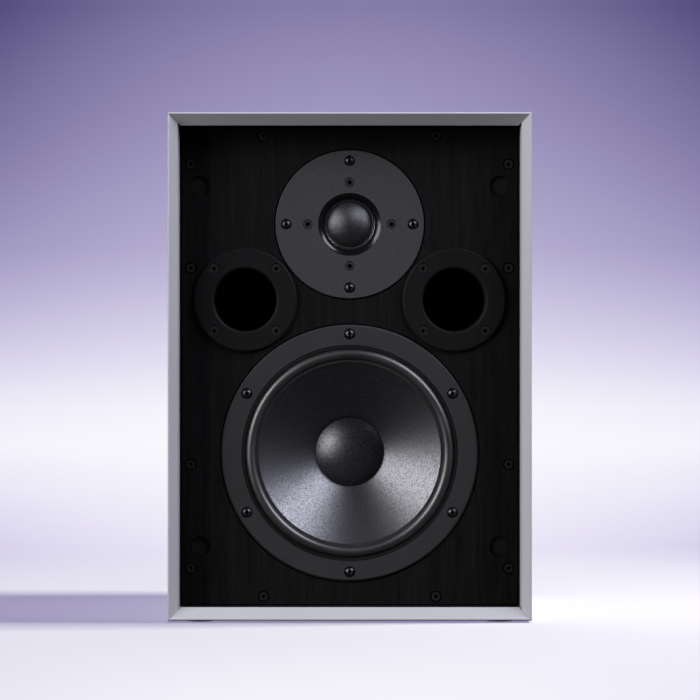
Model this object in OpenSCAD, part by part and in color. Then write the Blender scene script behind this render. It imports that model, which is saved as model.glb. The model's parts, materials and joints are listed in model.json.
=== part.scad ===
// Two-way active bookshelf speaker: a mitred cabinet, a recessed baffle held by screws,
// a dome tweeter, a cone woofer, two reflex ports and an amplifier plate at the rear.
// Millimetres, +Z up, the front faces -Y. The origin is on the floor, at the middle of the
// whole speaker's width and depth.

/* [Cabinet] */
// Outer width
cabinet_w = 255; // [250:1:300]
// Height without the feet
cabinet_h = 356; // [350:1:420]
// Depth without the heatsink
cabinet_d = 290; // [220:1:340]
// Thickness of the four outer panels
wall_t = 22; // [20:0.5:25]
// Width of the sloping front edge of the side panels
side_bevel = 6.8; // [4:0.1:7.5]
// Width of the sloping front edge of the top and bottom panels
end_bevel = 8.9; // [4:0.1:10]
// Thickness left beside the baffle, side panels
side_lip = 8; // [7.6:0.1:10]
// Thickness left beside the baffle, top and bottom panels
end_lip = 8.9; // [8.9:0.1:11]
// Flat left on the very front of the bevelled edges
edge_land = 0.5; // [0.2:0.1:1]
// Chamfer of the outer edges
edge_chamfer = 0.6; // [0.2:0.1:1.5]
// Thickness of the rear panel
rear_t = 18; // [12:1:22]
// Thickness left beside the rear panel
rear_lip = 9; // [6:0.5:12]
// Height of the rubber feet
foot_h = 1.5; // [1:0.5:8]
// Radius of the rubber feet
foot_r = 9; // [6:0.5:14]
// From the cabinet's edges to the middle of each foot
foot_inset = 22; // [18:1:40]

/* [Baffle] */
// From the front edge of the cabinet back to the baffle
baffle_recess = 30; // [16:1:40]
// Thickness of the baffle
baffle_t = 22; // [18:0.5:26]
// Gap round the baffle
baffle_gap = 0.7; // [0.3:0.1:1.2]
// Foam strip behind the baffle
seal_t = 1; // [0.5:0.5:2]
// From the cabinet's outer faces to the baffle's screws
screw_inset = 15; // [14:0.5:16]
// Upper and lower screws, from the middle line
end_screw_x = 61; // [30:1:90]
// Outer pair of side screws, from the cabinet's top and bottom
side_screw_inset = 35; // [30:1:60]
// Inner pair of side screws, from the middle height
side_screw_near = 69.5; // [50:0.5:90]
// Grille sockets, from the cabinet's outer sides
socket_inset_x = 21.5; // [19.5:0.5:23.5]
// Grille sockets, from the cabinet's top and bottom
socket_inset_z = 50.5; // [46:0.5:58]
// Radius of a grille socket
socket_r = 7.2; // [5:0.1:8]
// Depth of a grille socket to its magnet
socket_depth = 2; // [1.5:0.5:6]
// Radius of a grille magnet
magnet_r = 6; // [4:0.5:6.5]
// Thickness of a grille magnet
magnet_t = 3; // [2:0.5:5]

/* [Tweeter] */
// Radius of the faceplate
tweeter_r = 52.5; // [50:0.5:53]
// Thickness of the faceplate
tweeter_plate_t = 4.6; // [4:0.1:6]
// How far the faceplate stands proud of the baffle
tweeter_proud = 0.6; // [0:0.1:1.5]
// Radius of the mouth at the front
mouth_r = 22.4; // [20.5:0.1:24]
// Radius of the mouth at the dome
throat_r = 18; // [17.9:0.1:18.8]
// Radius of the fabric dome
dome_r = 16.2; // [15.4:0.1:16.3]
// Height of the dome
dome_rise = 5.6; // [4:0.1:7]
// Thickness of the dome's fabric
dome_t = 0.4; // [0.3:0.1:0.6]
// Outer screws, from the tweeter's middle
tweeter_screw_at = 44.9; // [43.5:0.1:46]
// Inner screws, from the tweeter's middle
motor_screw_at = 29.6; // [29:0.1:31]
// Radius of the tweeter's magnet
tweeter_magnet_r = 34; // [33:0.5:35]
// Depth of the rear chamber
chamber_d = 30; // [15:1:40]
// Travel of the dome each way
dome_travel = 0.5; // [0.1:0.1:0.7]

/* [Woofer] */
// Radius of the frame
woofer_r = 90.75; // [89:0.25:92]
// Thickness of the frame's flange
woofer_flange_t = 5; // [4:0.5:7]
// How far the flange stands proud of the baffle
woofer_proud = 1.2; // [0:0.1:2]
// Radius of the opening in the flange
woofer_open_r = 76.5; // [76:0.1:78]
// Chamfer round the flange
flange_chamfer = 1.2; // [0.5:0.1:2]
// Screws, from the woofer's middle
woofer_screw_at = 84.1; // [83.5:0.1:84.8]
// Outer radius of the surround's roll
roll_out_r = 73.6; // [73:0.1:74]
// Inner radius of the surround's roll
roll_in_r = 66.2; // [65.6:0.1:67]
// Thickness of the rubber surround
surround_t = 0.8; // [0.5:0.1:1.2]
// Radius of the cone at its rim
cone_r = 65.4; // [64:0.1:65.5]
// Depth of the cone
cone_d = 28; // [22:1:32]
// Thickness of the cone
cone_t = 0.9; // [0.6:0.1:1.5]
// Radius of the dust cap
cap_r = 24.2; // [22:0.1:27]
// Height of the dust cap
cap_rise = 8.5; // [5:0.5:12]
// Radius of the voice coil's former
former_r = 19.5; // [17:0.5:20]
// Depth of the basket behind the baffle's face
basket_d = 52; // [50:1:60]
// Radius of the magnet
woofer_magnet_r = 50; // [48:1:60]
// Thickness of the magnet
woofer_magnet_t = 18; // [12:1:25]
// Number of legs of the basket
leg_count = 6; // [4:1:8]
// Travel of the cone each way
cone_travel = 4; // [1:0.5:5]

/* [Ports] */
// From a side panel's inner face to the port tube's flared end
port_side_gap = 5; // [3:0.5:8]
// Baffle left between a port's flange and the woofer's frame
port_woofer_gap = 3.66; // [2:0.02:6]
// Baffle left between a port's flange and the tweeter's faceplate
port_tweeter_gap = 2.03; // [1.5:0.01:5]
// Least baffle left between the tweeter and the woofer
driver_bridge = 10; // [4:0.5:15]
// How far the drivers sit above the middle height
stack_lift = 0.38; // [0:0.02:2]
// Radius of the flange
flange_r = 36.7; // [35:0.1:37]
// Thickness of the flange
port_flange_t = 3; // [2:0.5:5]
// Inner radius of the tube
port_r = 22; // [18:0.5:22.5]
// Wall of the tube
port_wall = 2.4; // [1.6:0.1:3]
// Length of the tube behind the baffle's face
port_len = 110; // [60:1:150]
// Radius of the rounded mouth
port_round = 2.2; // [1:0.1:2.8]
// Flange screws, from the port's middle, each way
port_screw_at = 22; // [21.5:0.1:22.5]

/* [Rear] */
// Width of the amplifier plate
plate_w = 186; // [180:1:200]
// Height of the amplifier plate
plate_h = 256; // [252:1:290]
// Thickness of the amplifier plate
plate_t = 3; // [2:0.5:5]
// Border of the plate that lies on the rear panel
plate_border = 13; // [11:1:16]
// Width of the heatsink
sink_w = 144; // [100:1:160]
// Height of the plate that the controls and sockets need
control_room = 152; // [146:1:180]
// Reach of the heatsink behind the plate
sink_reach = 22; // [20:1:40]
// Number of fins
fin_count = 15; // [7:1:19]
// Thickness of a fin
fin_t = 2.2; // [1.5:0.1:3]
// Radius of the volume knob
volume_knob_r = 11; // [9:0.5:13]
// Radius of the two tone knobs
tone_knob_r = 8; // [6:0.5:9]
// Height of the knobs
knob_h = 15; // [10:0.5:18]
// Width of the mains inlet's mouth
inlet_w = 27; // [24:0.5:30]
// Height of the mains inlet's mouth
inlet_h = 20; // [18:0.5:22]
// Radius of the jack socket's bore
jack_r = 3.25; // [3:0.05:3.5]
// Angle of the power rocker's throw
rocker_throw = 16; // [10:1:20]

/* [Fits] */
// Gap round a driver's rim in its recess
rim_gap = 1; // [0.5:0.1:1.5]
// Gap round a tube or basket in its hole
hole_gap = 0.6; // [0.3:0.1:1.5]
// Gap round a screw in its hole
screw_gap = 0.1; // [0.05:0.05:0.3]
// Running gap round a turning shaft
shaft_gap = 0.05; // [0.02:0.01:0.1]
// Glue line between parts that are stuck together
glue_gap = 0.05; // [0.02:0.01:0.1]
// Air gap beside a voice coil
coil_gap = 0.5; // [0.3:0.1:0.7]

/* [Hidden] */
$fn = 64;

// Over-run of a cut past a face
over = 1;
half_w = cabinet_w / 2;
half_h = cabinet_h / 2;
front_y = -(cabinet_d + plate_t + sink_reach) / 2;
back_y = front_y + cabinet_d;
middle_z = foot_h + half_h;
baffle_y = front_y + baffle_recess;
seat_d = baffle_recess + baffle_t + seal_t;
baffle_half_w = half_w - side_lip - baffle_gap;
baffle_half_h = half_h - end_lip - baffle_gap;
inner_half_w = half_w - wall_t;
inner_half_h = half_h - wall_t;

// Places of the drivers and ports, stacked on the middle line
flare_r = port_r + port_wall + port_round;
port_out = inner_half_w - flare_r - port_side_gap;
port_rise = sqrt(pow(woofer_r + flange_r + port_woofer_gap, 2) - pow(port_out, 2));
tweeter_rise = sqrt(max(0, pow(tweeter_r + flange_r + port_tweeter_gap, 2) - pow(port_out, 2)));
driver_rise = max(woofer_r + tweeter_r + driver_bridge, port_rise + tweeter_rise);
stack_h = woofer_r + driver_rise + tweeter_r;
woofer_down = stack_h / 2 - woofer_r - stack_lift;
port_up = port_rise - woofer_down;
tweeter_up = driver_rise - woofer_down;

// Fasteners
wood_screw_r = 1.9;
baffle_head_r = 3.6;
baffle_head_sink = 0.4;
baffle_head_room = 0.6;
baffle_ring_d = 1;
baffle_socket_r = 1.5;
port_head_r = 4.1;
port_socket_r = 1.1;
motor_socket_r = 1.2;
socket_floor_d = 1.6;
button_r = 3.5;
woofer_pocket_r = 4;
tweeter_button_r = 3.3;
button_rise = 2;
button_socket_r = 1.45;
driver_screw_r = 1.9;
baffle_screw_len = 38;
driver_screw_len = 18;
port_screw_len = 16;
motor_screw_r = 1.5;
motor_head_r = 3.6;
head_pocket_r = 4;
head_pocket_d = 1.2;

// Tweeter levels, from the baffle's face towards the listener
tweeter_top_h = tweeter_proud;
tweeter_back_h = tweeter_top_h - tweeter_plate_t;
ring_t = 1.2;
ring_r = 27;
ring_rim = 4;
ring_rim_room = 1;
mouth_land = 1;
plate_edge = 0.5;
ring_back_h = tweeter_back_h - ring_t;
surround_rim = 1.2;
tweeter_plate_steel = 4;
tweeter_steel_back_h = ring_back_h - tweeter_plate_steel;
tweeter_magnet_t = 12;
tweeter_magnet_back_h = tweeter_steel_back_h - tweeter_magnet_t;
tweeter_pole_back_h = tweeter_magnet_back_h - tweeter_plate_steel;
tweeter_coil_t = 0.6;
tweeter_coil_len = 6;
tweeter_gap_r = dome_r + coil_gap;
tweeter_pole_r = dome_r - tweeter_coil_t - coil_gap;
tweeter_hole_room = 3;
tweeter_magnet_room = 3;
tweeter_screw_end = 0.5;
tweeter_vent_r = 4;
chamber_wall = 2;
dome_base_h = ring_back_h + ring_t / 2;
tweeter_coil_top_h = dome_base_h - dome_t / 2 - glue_gap;

// Woofer levels, from the baffle's face towards the listener
woofer_top_h = woofer_proud;
woofer_back_h = woofer_top_h - woofer_flange_t;
landing_d = 2.5;
landing_room = 0.3;
landing_h = woofer_top_h - landing_d;
landing_r = roll_out_r + landing_room;
clamp_t = 1.1;
clamp_gap = 0.4;
rim_flat = 1.8;
roll_mid_r = (roll_out_r + roll_in_r) / 2;
roll_r = (roll_out_r - roll_in_r) / 2;
cone_rim_h = landing_h;
neck_h = cone_rim_h - cone_d;
cone_curve = 1.12;
cone_steps = 12;
basket_t = 2.5;
steel_t = 8;
former_t = 0.5;
former_rise = 2;
coil_t = 0.9;
coil_len = steel_t + 2 * cone_travel;
cap_t = 0.8;
spider_drop = 7.5;
spider_h = neck_h - spider_drop;
spider_t = 0.6;
spider_r = 53.5;
spider_room = 0.5;
spider_flat = 2;
spider_waves = 5;
spider_wave_h = 1.6;
ledge_r = 50;
ledge_t = 4;
carrier_r = spider_r + basket_t + spider_room;
seat_h = -basket_d;
seat_t = 2.5;
seat_r = 47;
basket_r = 78.4;
basket_step = 2;
rim_wall_h = -12;
window_sill = 2.5;
leg_angle = 18;
steel_inset = 4;
steel_edge = 1;
steel_r = woofer_magnet_r - steel_inset;
gap_r = former_r + glue_gap + coil_t + coil_gap;
pole_r = former_r - former_t - coil_gap;
magnet_room = 5;
magnet_in_r = gap_r + magnet_room;
magnet_top_h = seat_h - steel_t;
magnet_back_h = magnet_top_h - woofer_magnet_t;
pole_back_h = magnet_back_h - steel_t;
former_end_h = seat_h - steel_t / 2 - coil_len / 2;
pole_rise = 0.5;
pole_top_h = seat_h + pole_rise;
pole_vent_r = 5;
pole_vent_flare = 3;

// Rear plate places: to the right as seen from behind, and above the middle height
plate_y = back_y + plate_t;
plate_corner_r = 5;
plate_up = 4;
cutout_w = plate_w - 2 * plate_border;
cutout_h = plate_h - 2 * plate_border;
sink_h = plate_h - control_room;
sink_inset = 18;
sink_up = plate_up + plate_h / 2 - sink_inset - sink_h / 2;
sink_base_t = 4;
mains_inset = 32;
line_pitch = 36;
control_pitch = 38;
mains_up = plate_up - plate_h / 2 + mains_inset;
line_up = mains_up + line_pitch;
control_up = line_up + control_pitch;
volume_x = -44;
treble_x = 0;
bass_x = 40;
phono_x = -44;
jack_x = 0;
inlet_x = -32;
switch_x = 36;
pot_shaft_r = 3;
pot_bush_r = 4.5;
pot_body_r = 8.5;
pot_body_t = 11;
pot_bush_up = 2;
knob_room = 0.8;
knob_foot_gap = pot_bush_up + knob_room;
knob_flutes = 24;
knob_flute = 0.09;
knob_taper = 0.94;

// Sockets, inlet and switch
phono_thread_r = 4.6;
phono_barrel_r = 4.15;
phono_barrel_len = 9;
phono_flange_r = 6.5;
phono_flange_t = 1.2;
phono_bore_r = 1.6;
phono_body_len = 8;
jack_thread_r = 5.5;
jack_body = [18, 18, 26];
jack_barrel_len = 4;
socket_floor = 2;
nut_t = 2;
jack_nut_r = 8.5;
phono_nut_r = 7.5;
inlet_wall = 1.5;
inlet_border = 3;
inlet_body = [inlet_w + 2 * inlet_wall, inlet_h + 2 * inlet_wall];
inlet_flange = [inlet_body[0] + 2 * inlet_border, inlet_body[1] + 2 * inlet_border, 2];
inlet_depth = 20;
inlet_corner = 5;
pin_size = [2, 4];
pin_hole = [pin_size[0] + 2 * glue_gap, pin_size[1] + 2 * glue_gap];
pin_tail = 6;
pin_recess = 4;
pin_places = [[-7, -2], [0, 2], [7, -2]];
rocker_w = 9.6;
rocker_l = 16;
rocker_pin_r = 1.2;
rocker_dish_r = 22;
rocker_room = 0.4;
switch_body = [13, 19];
switch_flange = [16, 23, 1.6];
switch_depth = 14;

// Electronics behind the plate
board_w = 136;
board_h = 64;
board_t = 1.6;
board_off = 30;
board_inset = 40;
board_up = plate_up - cutout_h / 2 + board_inset + board_h / 2;
stand_r = 3;
stand_inset = 6;
capacitor_r = 11;
capacitor_h = 32;
capacitor_places = [-40, -15];
chip_size = [16, 21, 5];
chip_gap = 5;
toroid_r = 42;
toroid_inset = 5;
toroid_up = plate_up + cutout_h / 2 - toroid_inset - toroid_r;
toroid_in_r = 14;
toroid_h = 34;
toroid_edge = 8;
toroid_bolt_r = 3;
toroid_head_t = 4;
toroid_washer_t = 2;

// Places of the perimeter screws of the baffle
baffle_screw_places = [
    for (sx = [-1, 1], sz = [-1, 1]) [sx * end_screw_x, sz * (half_h - screw_inset)],
    for (sx = [-1, 1], z = [half_h - side_screw_inset, side_screw_near], sz = [-1, 1])
        [sx * (half_w - screw_inset), sz * z]
];
socket_places = [
    for (sx = [-1, 1], sz = [-1, 1]) [sx * (half_w - socket_inset_x), sz * (half_h - socket_inset_z)]
];
port_places = [[-port_out, port_up], [port_out, port_up]];
port_screw_offsets = [for (sx = [-1, 1], sz = [-1, 1]) [sx * port_screw_at, sz * port_screw_at]];
plate_screw_places = [
    for (sx = [-1, 1], k = [-1, -1 / 3, 1 / 3, 1])
        [sx * (plate_w - plate_border) / 2, plate_up + k * (plate_h - plate_border) / 2],
    for (sz = [-1, 1]) [0, plate_up + sz * (plate_h - plate_border) / 2]
];
stand_places = [
    for (sx = [-1, 1], sz = [-1, 1]) [sx * (board_w / 2 - stand_inset), sz * (board_h / 2 - stand_inset)]
];

// Colours
lacquer = [0.68, 0.68, 0.72];
black_wood = [0.09, 0.09, 0.1];
black_steel = [0.16, 0.16, 0.17];
anodised = [0.24, 0.24, 0.26];
rubber_black = [0.07, 0.07, 0.08];
steel = [0.62, 0.63, 0.65];
ferrite = [0.2, 0.2, 0.22];
moulded = [0.12, 0.12, 0.13];

// Points of an arc of radius r about [x, y], from angle a to angle b
function arc(x, y, r, a, b, steps) =
    [for (i = [0:steps]) let (t = a + (b - a) * i / steps) [x + r * cos(t), y + r * sin(t)]];

// Depth of the cone's front face below its rim, at radius r
function cone_level(r) =
    cone_rim_h - cone_d * pow((cone_r - r) / (cone_r - former_r), cone_curve);

// Puts a shape with +Z towards the listener on the baffle's face
module at_front(place) {
    translate([place[0], baffle_y, middle_z + place[1]]) rotate([90, 0, 0]) children();
}

// Puts a shape with +Z away from the listener on the amplifier plate, x to the right as seen from behind
module at_rear(x, up) {
    translate([-x, plate_y, middle_z + up]) rotate([90, 0, 180]) children();
}

module at_tweeter() {
    at_front([0, tweeter_up]) children();
}

module at_woofer() {
    at_front([0, -woofer_down]) children();
}

// A plain ring between two levels
module ring(outer_r, inner_r, low, high) {
    translate([0, 0, low]) difference() {
        cylinder(r = outer_r, h = high - low);
        translate([0, 0, -over]) cylinder(r = inner_r, h = high - low + 2 * over);
    }
}

// A rectangle with true round corners
module rounded_rect(w, h, r) {
    square([w - 2 * r, h], center = true);
    square([w, h - 2 * r], center = true);
    for (sx = [-1, 1], sy = [-1, 1]) translate([sx * (w / 2 - r), sy * (h / 2 - r)]) circle(r = r);
}

// Countersunk screw, head flush with z = 0, with a hexagon socket
module flat_screw(head_r, shank_r, socket_r, length) {
    difference() {
        rotate_extrude() polygon([
            [0, 0], [head_r, 0], [shank_r, shank_r - head_r],
            [shank_r, shank_r - length], [0, -length]
        ]);
        translate([0, 0, -socket_floor_d]) cylinder(r = socket_r, h = socket_floor_d + over, $fn = 6);
    }
}

// Hole for a countersunk screw
module flat_screw_hole(head_r, shank_r, length) {
    gap = screw_gap;
    rotate_extrude() polygon([
        [0, over], [head_r + gap, over], [head_r + gap, 0], [shank_r + gap, shank_r - head_r],
        [shank_r + gap, -length - gap], [0, -length - gap]
    ]);
}

// Button-headed screw that seats on z = 0, with a hexagon socket
module button_screw(head_r, shank_r, length) {
    dome = (head_r * head_r + button_rise * button_rise) / (2 * button_rise);
    sweep = asin(head_r / dome);
    difference() {
        rotate_extrude() polygon(concat(
            arc(0, button_rise - dome, dome, 90, 90 - sweep, 6),
            [[shank_r, 0], [shank_r, shank_r - length], [0, -length]]
        ));
        translate([0, 0, button_rise / 2]) cylinder(r = button_socket_r, h = button_rise, $fn = 6);
    }
}

// Hole for a countersunk screw whose head sits below the face, with a groove round the head
module sunk_screw_hole(head_r, shank_r, length) {
    groove_r = head_r + baffle_head_room;
    low = -baffle_head_sink - baffle_ring_d;
    gap = screw_gap;
    rotate_extrude() polygon([
        [0, over], [groove_r, over], [groove_r, low], [head_r + gap - baffle_ring_d, low],
        [shank_r + gap, shank_r - head_r - baffle_head_sink], [shank_r + gap, -length], [0, -length]
    ]);
}

module each_at(places, level) {
    for (p = places) translate([p[0], p[1], level]) children();
}

module round_at(count, radius, first, level) {
    for (i = [0:count - 1])
        rotate([0, 0, first + i * 360 / count]) translate([radius, 0, level]) children();
}

// Section of an outer panel: distance in from the outer face, depth back from the front edge
function panel_section(bevel, lip) = [
    [0, edge_chamfer],
    [edge_chamfer, 0],
    [edge_chamfer + edge_land, 0],
    [bevel, bevel - edge_chamfer - edge_land],
    [lip, baffle_recess],
    [lip, seat_d],
    [wall_t, seat_d],
    [wall_t, cabinet_d - rear_t],
    [rear_lip, cabinet_d - rear_t],
    [rear_lip, cabinet_d],
    [edge_chamfer, cabinet_d],
    [0, cabinet_d - edge_chamfer]
];

// Length of a mitred panel: an outline that narrows at 45 degrees towards the inside
module mitre_wedge(length) {
    translate([0, front_y - over, 0]) rotate([-90, 0, 0]) linear_extrude(cabinet_d + 2 * over) polygon([
        [-over, -length / 2 - over], [-over, length / 2 + over],
        [wall_t + over, length / 2 - wall_t - over], [wall_t + over, -length / 2 + wall_t + over]
    ]);
}

// A mitred panel that stands upright, its outer face at x = 0 and its inner face towards +X
module mitred_panel(length, bevel, lip) {
    intersection() {
        translate([0, front_y, -length / 2]) linear_extrude(length) polygon(panel_section(bevel, lip));
        mitre_wedge(length);
    }
}

// Pilot holes in the panels' shoulders for the baffle's screws
module baffle_screw_holes() {
    at_front([0, 0]) each_at(baffle_screw_places, -baffle_screw_len - screw_gap)
        cylinder(r = wood_screw_r + screw_gap, h = baffle_screw_len);
}

module left_side_panel() {
    color(lacquer) difference() {
        translate([-half_w, 0, middle_z]) mitred_panel(cabinet_h, side_bevel, side_lip);
        baffle_screw_holes();
    }
}

module right_side_panel() {
    color(lacquer) difference() {
        translate([half_w, 0, middle_z]) mirror([1, 0, 0]) mitred_panel(cabinet_h, side_bevel, side_lip);
        baffle_screw_holes();
    }
}

module top_panel() {
    color(lacquer) difference() {
        translate([0, 0, foot_h + cabinet_h]) rotate([0, 90, 0])
            mitred_panel(cabinet_w, end_bevel, end_lip);
        baffle_screw_holes();
    }
}

module bottom_panel() {
    color(lacquer) difference() {
        translate([0, 0, foot_h]) rotate([0, -90, 0]) mitred_panel(cabinet_w, end_bevel, end_lip);
        baffle_screw_holes();
    }
}

module rear_panel() {
    panel_w = cabinet_w - 2 * rear_lip;
    panel_h = cabinet_h - 2 * rear_lip;
    color(black_wood) difference() {
        translate([-panel_w / 2, back_y - rear_t, middle_z - panel_h / 2]) cube([panel_w, rear_t, panel_h]);
        at_rear(0, plate_up) translate([0, 0, -plate_t - rear_t - over])
            linear_extrude(rear_t + 2 * over) rounded_rect(cutout_w, cutout_h, plate_corner_r);
        at_rear(0, 0) each_at(plate_screw_places, -driver_screw_len - plate_t)
            cylinder(r = driver_screw_r + screw_gap, h = driver_screw_len + plate_t);
    }
}

module front_baffle() {
    color(black_wood) difference() {
        translate([-baffle_half_w, baffle_y, middle_z - baffle_half_h])
            cube([2 * baffle_half_w, baffle_t, 2 * baffle_half_h]);
        at_front([0, 0]) {
            each_at(baffle_screw_places, 0) sunk_screw_hole(baffle_head_r, wood_screw_r, baffle_t + over);
            each_at(socket_places, -socket_depth) cylinder(r = socket_r, h = socket_depth + over);
            each_at(socket_places, -socket_depth - magnet_t)
                cylinder(r = magnet_r + glue_gap, h = magnet_t + over);
        }
        for (p = port_places) at_front(p) {
            translate([0, 0, -baffle_t - over])
                cylinder(r = port_r + port_wall + hole_gap, h = baffle_t + 2 * over);
            each_at(port_screw_offsets, -port_screw_len)
                cylinder(r = wood_screw_r + screw_gap, h = port_screw_len + over);
        }
        at_tweeter() {
            translate([0, 0, tweeter_back_h]) cylinder(r = tweeter_r + rim_gap, h = baffle_t);
            translate([0, 0, -baffle_t - over])
                cylinder(r = tweeter_magnet_r + tweeter_hole_room, h = baffle_t + 2 * over);
            round_at(4, tweeter_screw_at, 0, -driver_screw_len - screw_gap)
                cylinder(r = driver_screw_r + screw_gap, h = driver_screw_len);
        }
        at_woofer() {
            translate([0, 0, woofer_back_h - seal_t]) cylinder(r = woofer_r + rim_gap, h = baffle_t);
            translate([0, 0, -baffle_t - over]) cylinder(r = basket_r + hole_gap, h = baffle_t + 2 * over);
            round_at(6, woofer_screw_at, 30, -driver_screw_len - screw_gap)
                cylinder(r = driver_screw_r + screw_gap, h = driver_screw_len);
        }
    }
}

// Foam strip that seals the baffle on its shoulder
module baffle_seal() {
    hole_r = wood_screw_r + screw_gap;
    color(rubber_black) difference() {
        translate([-baffle_half_w, baffle_y + baffle_t, middle_z - baffle_half_h])
            cube([2 * baffle_half_w, seal_t, 2 * baffle_half_h]);
        translate([-inner_half_w, baffle_y + baffle_t - over, middle_z - inner_half_h])
            cube([2 * inner_half_w, seal_t + 2 * over, 2 * inner_half_h]);
        at_front([0, 0]) each_at(baffle_screw_places, -baffle_t - seal_t - over)
            cylinder(r = hole_r, h = seal_t + 2 * over);
    }
}

module baffle_screws() {
    length = baffle_screw_len - baffle_head_sink;
    color(black_steel) at_front([0, 0]) each_at(baffle_screw_places, -baffle_head_sink)
        flat_screw(baffle_head_r, wood_screw_r, baffle_socket_r, length);
}

module grille_magnets() {
    color(black_steel) at_front([0, 0]) each_at(socket_places, -socket_depth - magnet_t)
        cylinder(r = magnet_r, h = magnet_t);
}

module rubber_feet() {
    foot_y = cabinet_d / 2 - foot_inset;
    color(rubber_black) for (sx = [-1, 1], sy = [-1, 1])
        translate([sx * (half_w - foot_inset), front_y + cabinet_d / 2 + sy * foot_y, 0])
            cylinder(r = foot_r, h = foot_h);
}

// One reflex port: screw flange, rounded mouth and a tube with a flared inner end
module port() {
    tube_r = port_r + port_wall;
    difference() {
        rotate_extrude() polygon(concat(
            arc(flange_r - port_flange_t / 2, port_flange_t / 2, port_flange_t / 2, -90, 90, 8),
            arc(port_r + port_round, port_flange_t - port_round, port_round, 90, 180, 8),
            arc(port_r + port_round, -port_len + port_round, port_round, 180, 270, 8),
            [[flare_r, -port_len], [flare_r, -port_len + port_wall]],
            arc(flare_r, -port_len + port_wall + port_round, port_round, 270, 180, 6),
            [[tube_r, 0]]
        ));
        each_at(port_screw_offsets, port_flange_t) flat_screw_hole(port_head_r, wood_screw_r, port_flange_t);
    }
}

module left_port() {
    color(moulded) at_front(port_places[0]) port();
}

module right_port() {
    color(moulded) at_front(port_places[1]) port();
}

module port_screws() {
    color(black_steel) for (p = port_places) at_front(p)
        each_at(port_screw_offsets, port_flange_t)
            flat_screw(port_head_r, wood_screw_r, port_socket_r, port_screw_len);
}

// Turned faceplate with a rounded mouth in front of the dome
module tweeter_faceplate() {
    flare_h = tweeter_top_h - tweeter_back_h - mouth_land;
    flare_w = mouth_r - throat_r;
    boss_in = ring_r + hole_gap;
    boss_out = tweeter_magnet_r;
    edge = plate_edge;
    color(anodised) at_tweeter() difference() {
        rotate_extrude() polygon(concat(
            [[throat_r, tweeter_back_h]],
            [for (i = [0:8]) let (t = 90 * i / 8)
                [mouth_r - flare_w * cos(t), tweeter_top_h - flare_h * (1 - sin(t))]],
            [
                [tweeter_r - edge, tweeter_top_h], [tweeter_r, tweeter_top_h - edge],
                [tweeter_r, tweeter_back_h], [boss_out, tweeter_back_h], [boss_out, ring_back_h],
                [boss_in, ring_back_h], [boss_in, tweeter_back_h]
            ]
        ));
        round_at(4, tweeter_screw_at, 0, tweeter_top_h - head_pocket_d)
            cylinder(r = head_pocket_r, h = head_pocket_d + over);
        round_at(4, tweeter_screw_at, 0, tweeter_back_h - over)
            cylinder(r = driver_screw_r + screw_gap, h = tweeter_plate_t + over);
        round_at(4, motor_screw_at, 0, tweeter_top_h)
            flat_screw_hole(motor_head_r, motor_screw_r, tweeter_plate_t + ring_t);
    }
}

// Spherical cap shell of a given base radius, standing on its level
module cap_shell(base_r, rise, thickness, level) {
    sphere_r = (base_r * base_r + rise * rise) / (2 * rise);
    sweep = asin(base_r / sphere_r);
    inner_sweep = asin((base_r - thickness) / (sphere_r - thickness));
    translate([0, 0, level]) rotate_extrude() polygon(concat(
        arc(0, rise - sphere_r, sphere_r, 90, 90 - sweep, 16),
        arc(0, rise - sphere_r, sphere_r - thickness, 90 - inner_sweep, 90, 16)
    ));
}

module tweeter_dome() {
    color(black_wood) at_tweeter() {
        cap_shell(dome_r, dome_rise, dome_t, dome_base_h);
    }
}

// Small half-roll between the dome and its ring
module tweeter_surround() {
    roll_start = dome_r + glue_gap;
    roll_end = throat_r - surround_rim / 2;
    mid = (roll_start + roll_end) / 2;
    size = (roll_end - roll_start) / 2;
    rim_out = ring_r - ring_rim;
    color(rubber_black) at_tweeter() translate([0, 0, dome_base_h]) rotate_extrude() polygon(concat(
        arc(mid, 0, size, 180, 0, 8),
        [[rim_out, 0], [rim_out, -dome_t], [roll_end - dome_t, -dome_t]],
        arc(mid, -dome_t, size - dome_t, 0, 180, 8)
    ));
}

module tweeter_voice_coil() {
    outer = dome_r - dome_t;
    low = dome_base_h - tweeter_coil_len;
    color("peru") at_tweeter() ring(outer, outer - tweeter_coil_t, low, tweeter_coil_top_h);
}

// Ring that clamps the rim of the dome's surround, seen as a bright edge in the mouth
module tweeter_dome_ring() {
    lip_in = throat_r - surround_rim / 2 + glue_gap;
    rim_in = ring_r - ring_rim + ring_rim_room;
    low = dome_base_h + glue_gap;
    color(steel) at_tweeter() rotate_extrude() polygon([
        [lip_in, low], [rim_in, low], [rim_in, ring_back_h],
        [ring_r, ring_back_h], [ring_r, tweeter_back_h], [lip_in, tweeter_back_h]
    ]);
}

module tweeter_top_plate() {
    color(steel) at_tweeter() difference() {
        ring(tweeter_magnet_r, tweeter_gap_r, tweeter_steel_back_h, ring_back_h);
        round_at(4, motor_screw_at, 0, tweeter_steel_back_h - over)
            cylinder(r = motor_screw_r + screw_gap, h = tweeter_plate_steel + 2 * over);
    }
}

module tweeter_magnet() {
    color(ferrite) at_tweeter() ring(
        tweeter_magnet_r, tweeter_gap_r + tweeter_magnet_room, tweeter_magnet_back_h, tweeter_steel_back_h
    );
}

module tweeter_pole_plate() {
    pole_top = ring_back_h - dome_travel - glue_gap;
    color(steel) at_tweeter() rotate_extrude() polygon([
        [tweeter_vent_r, pole_top], [tweeter_pole_r, pole_top], [tweeter_pole_r, tweeter_magnet_back_h],
        [tweeter_magnet_r, tweeter_magnet_back_h], [tweeter_magnet_r, tweeter_pole_back_h],
        [tweeter_vent_r, tweeter_pole_back_h]
    ]);
}

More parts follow.
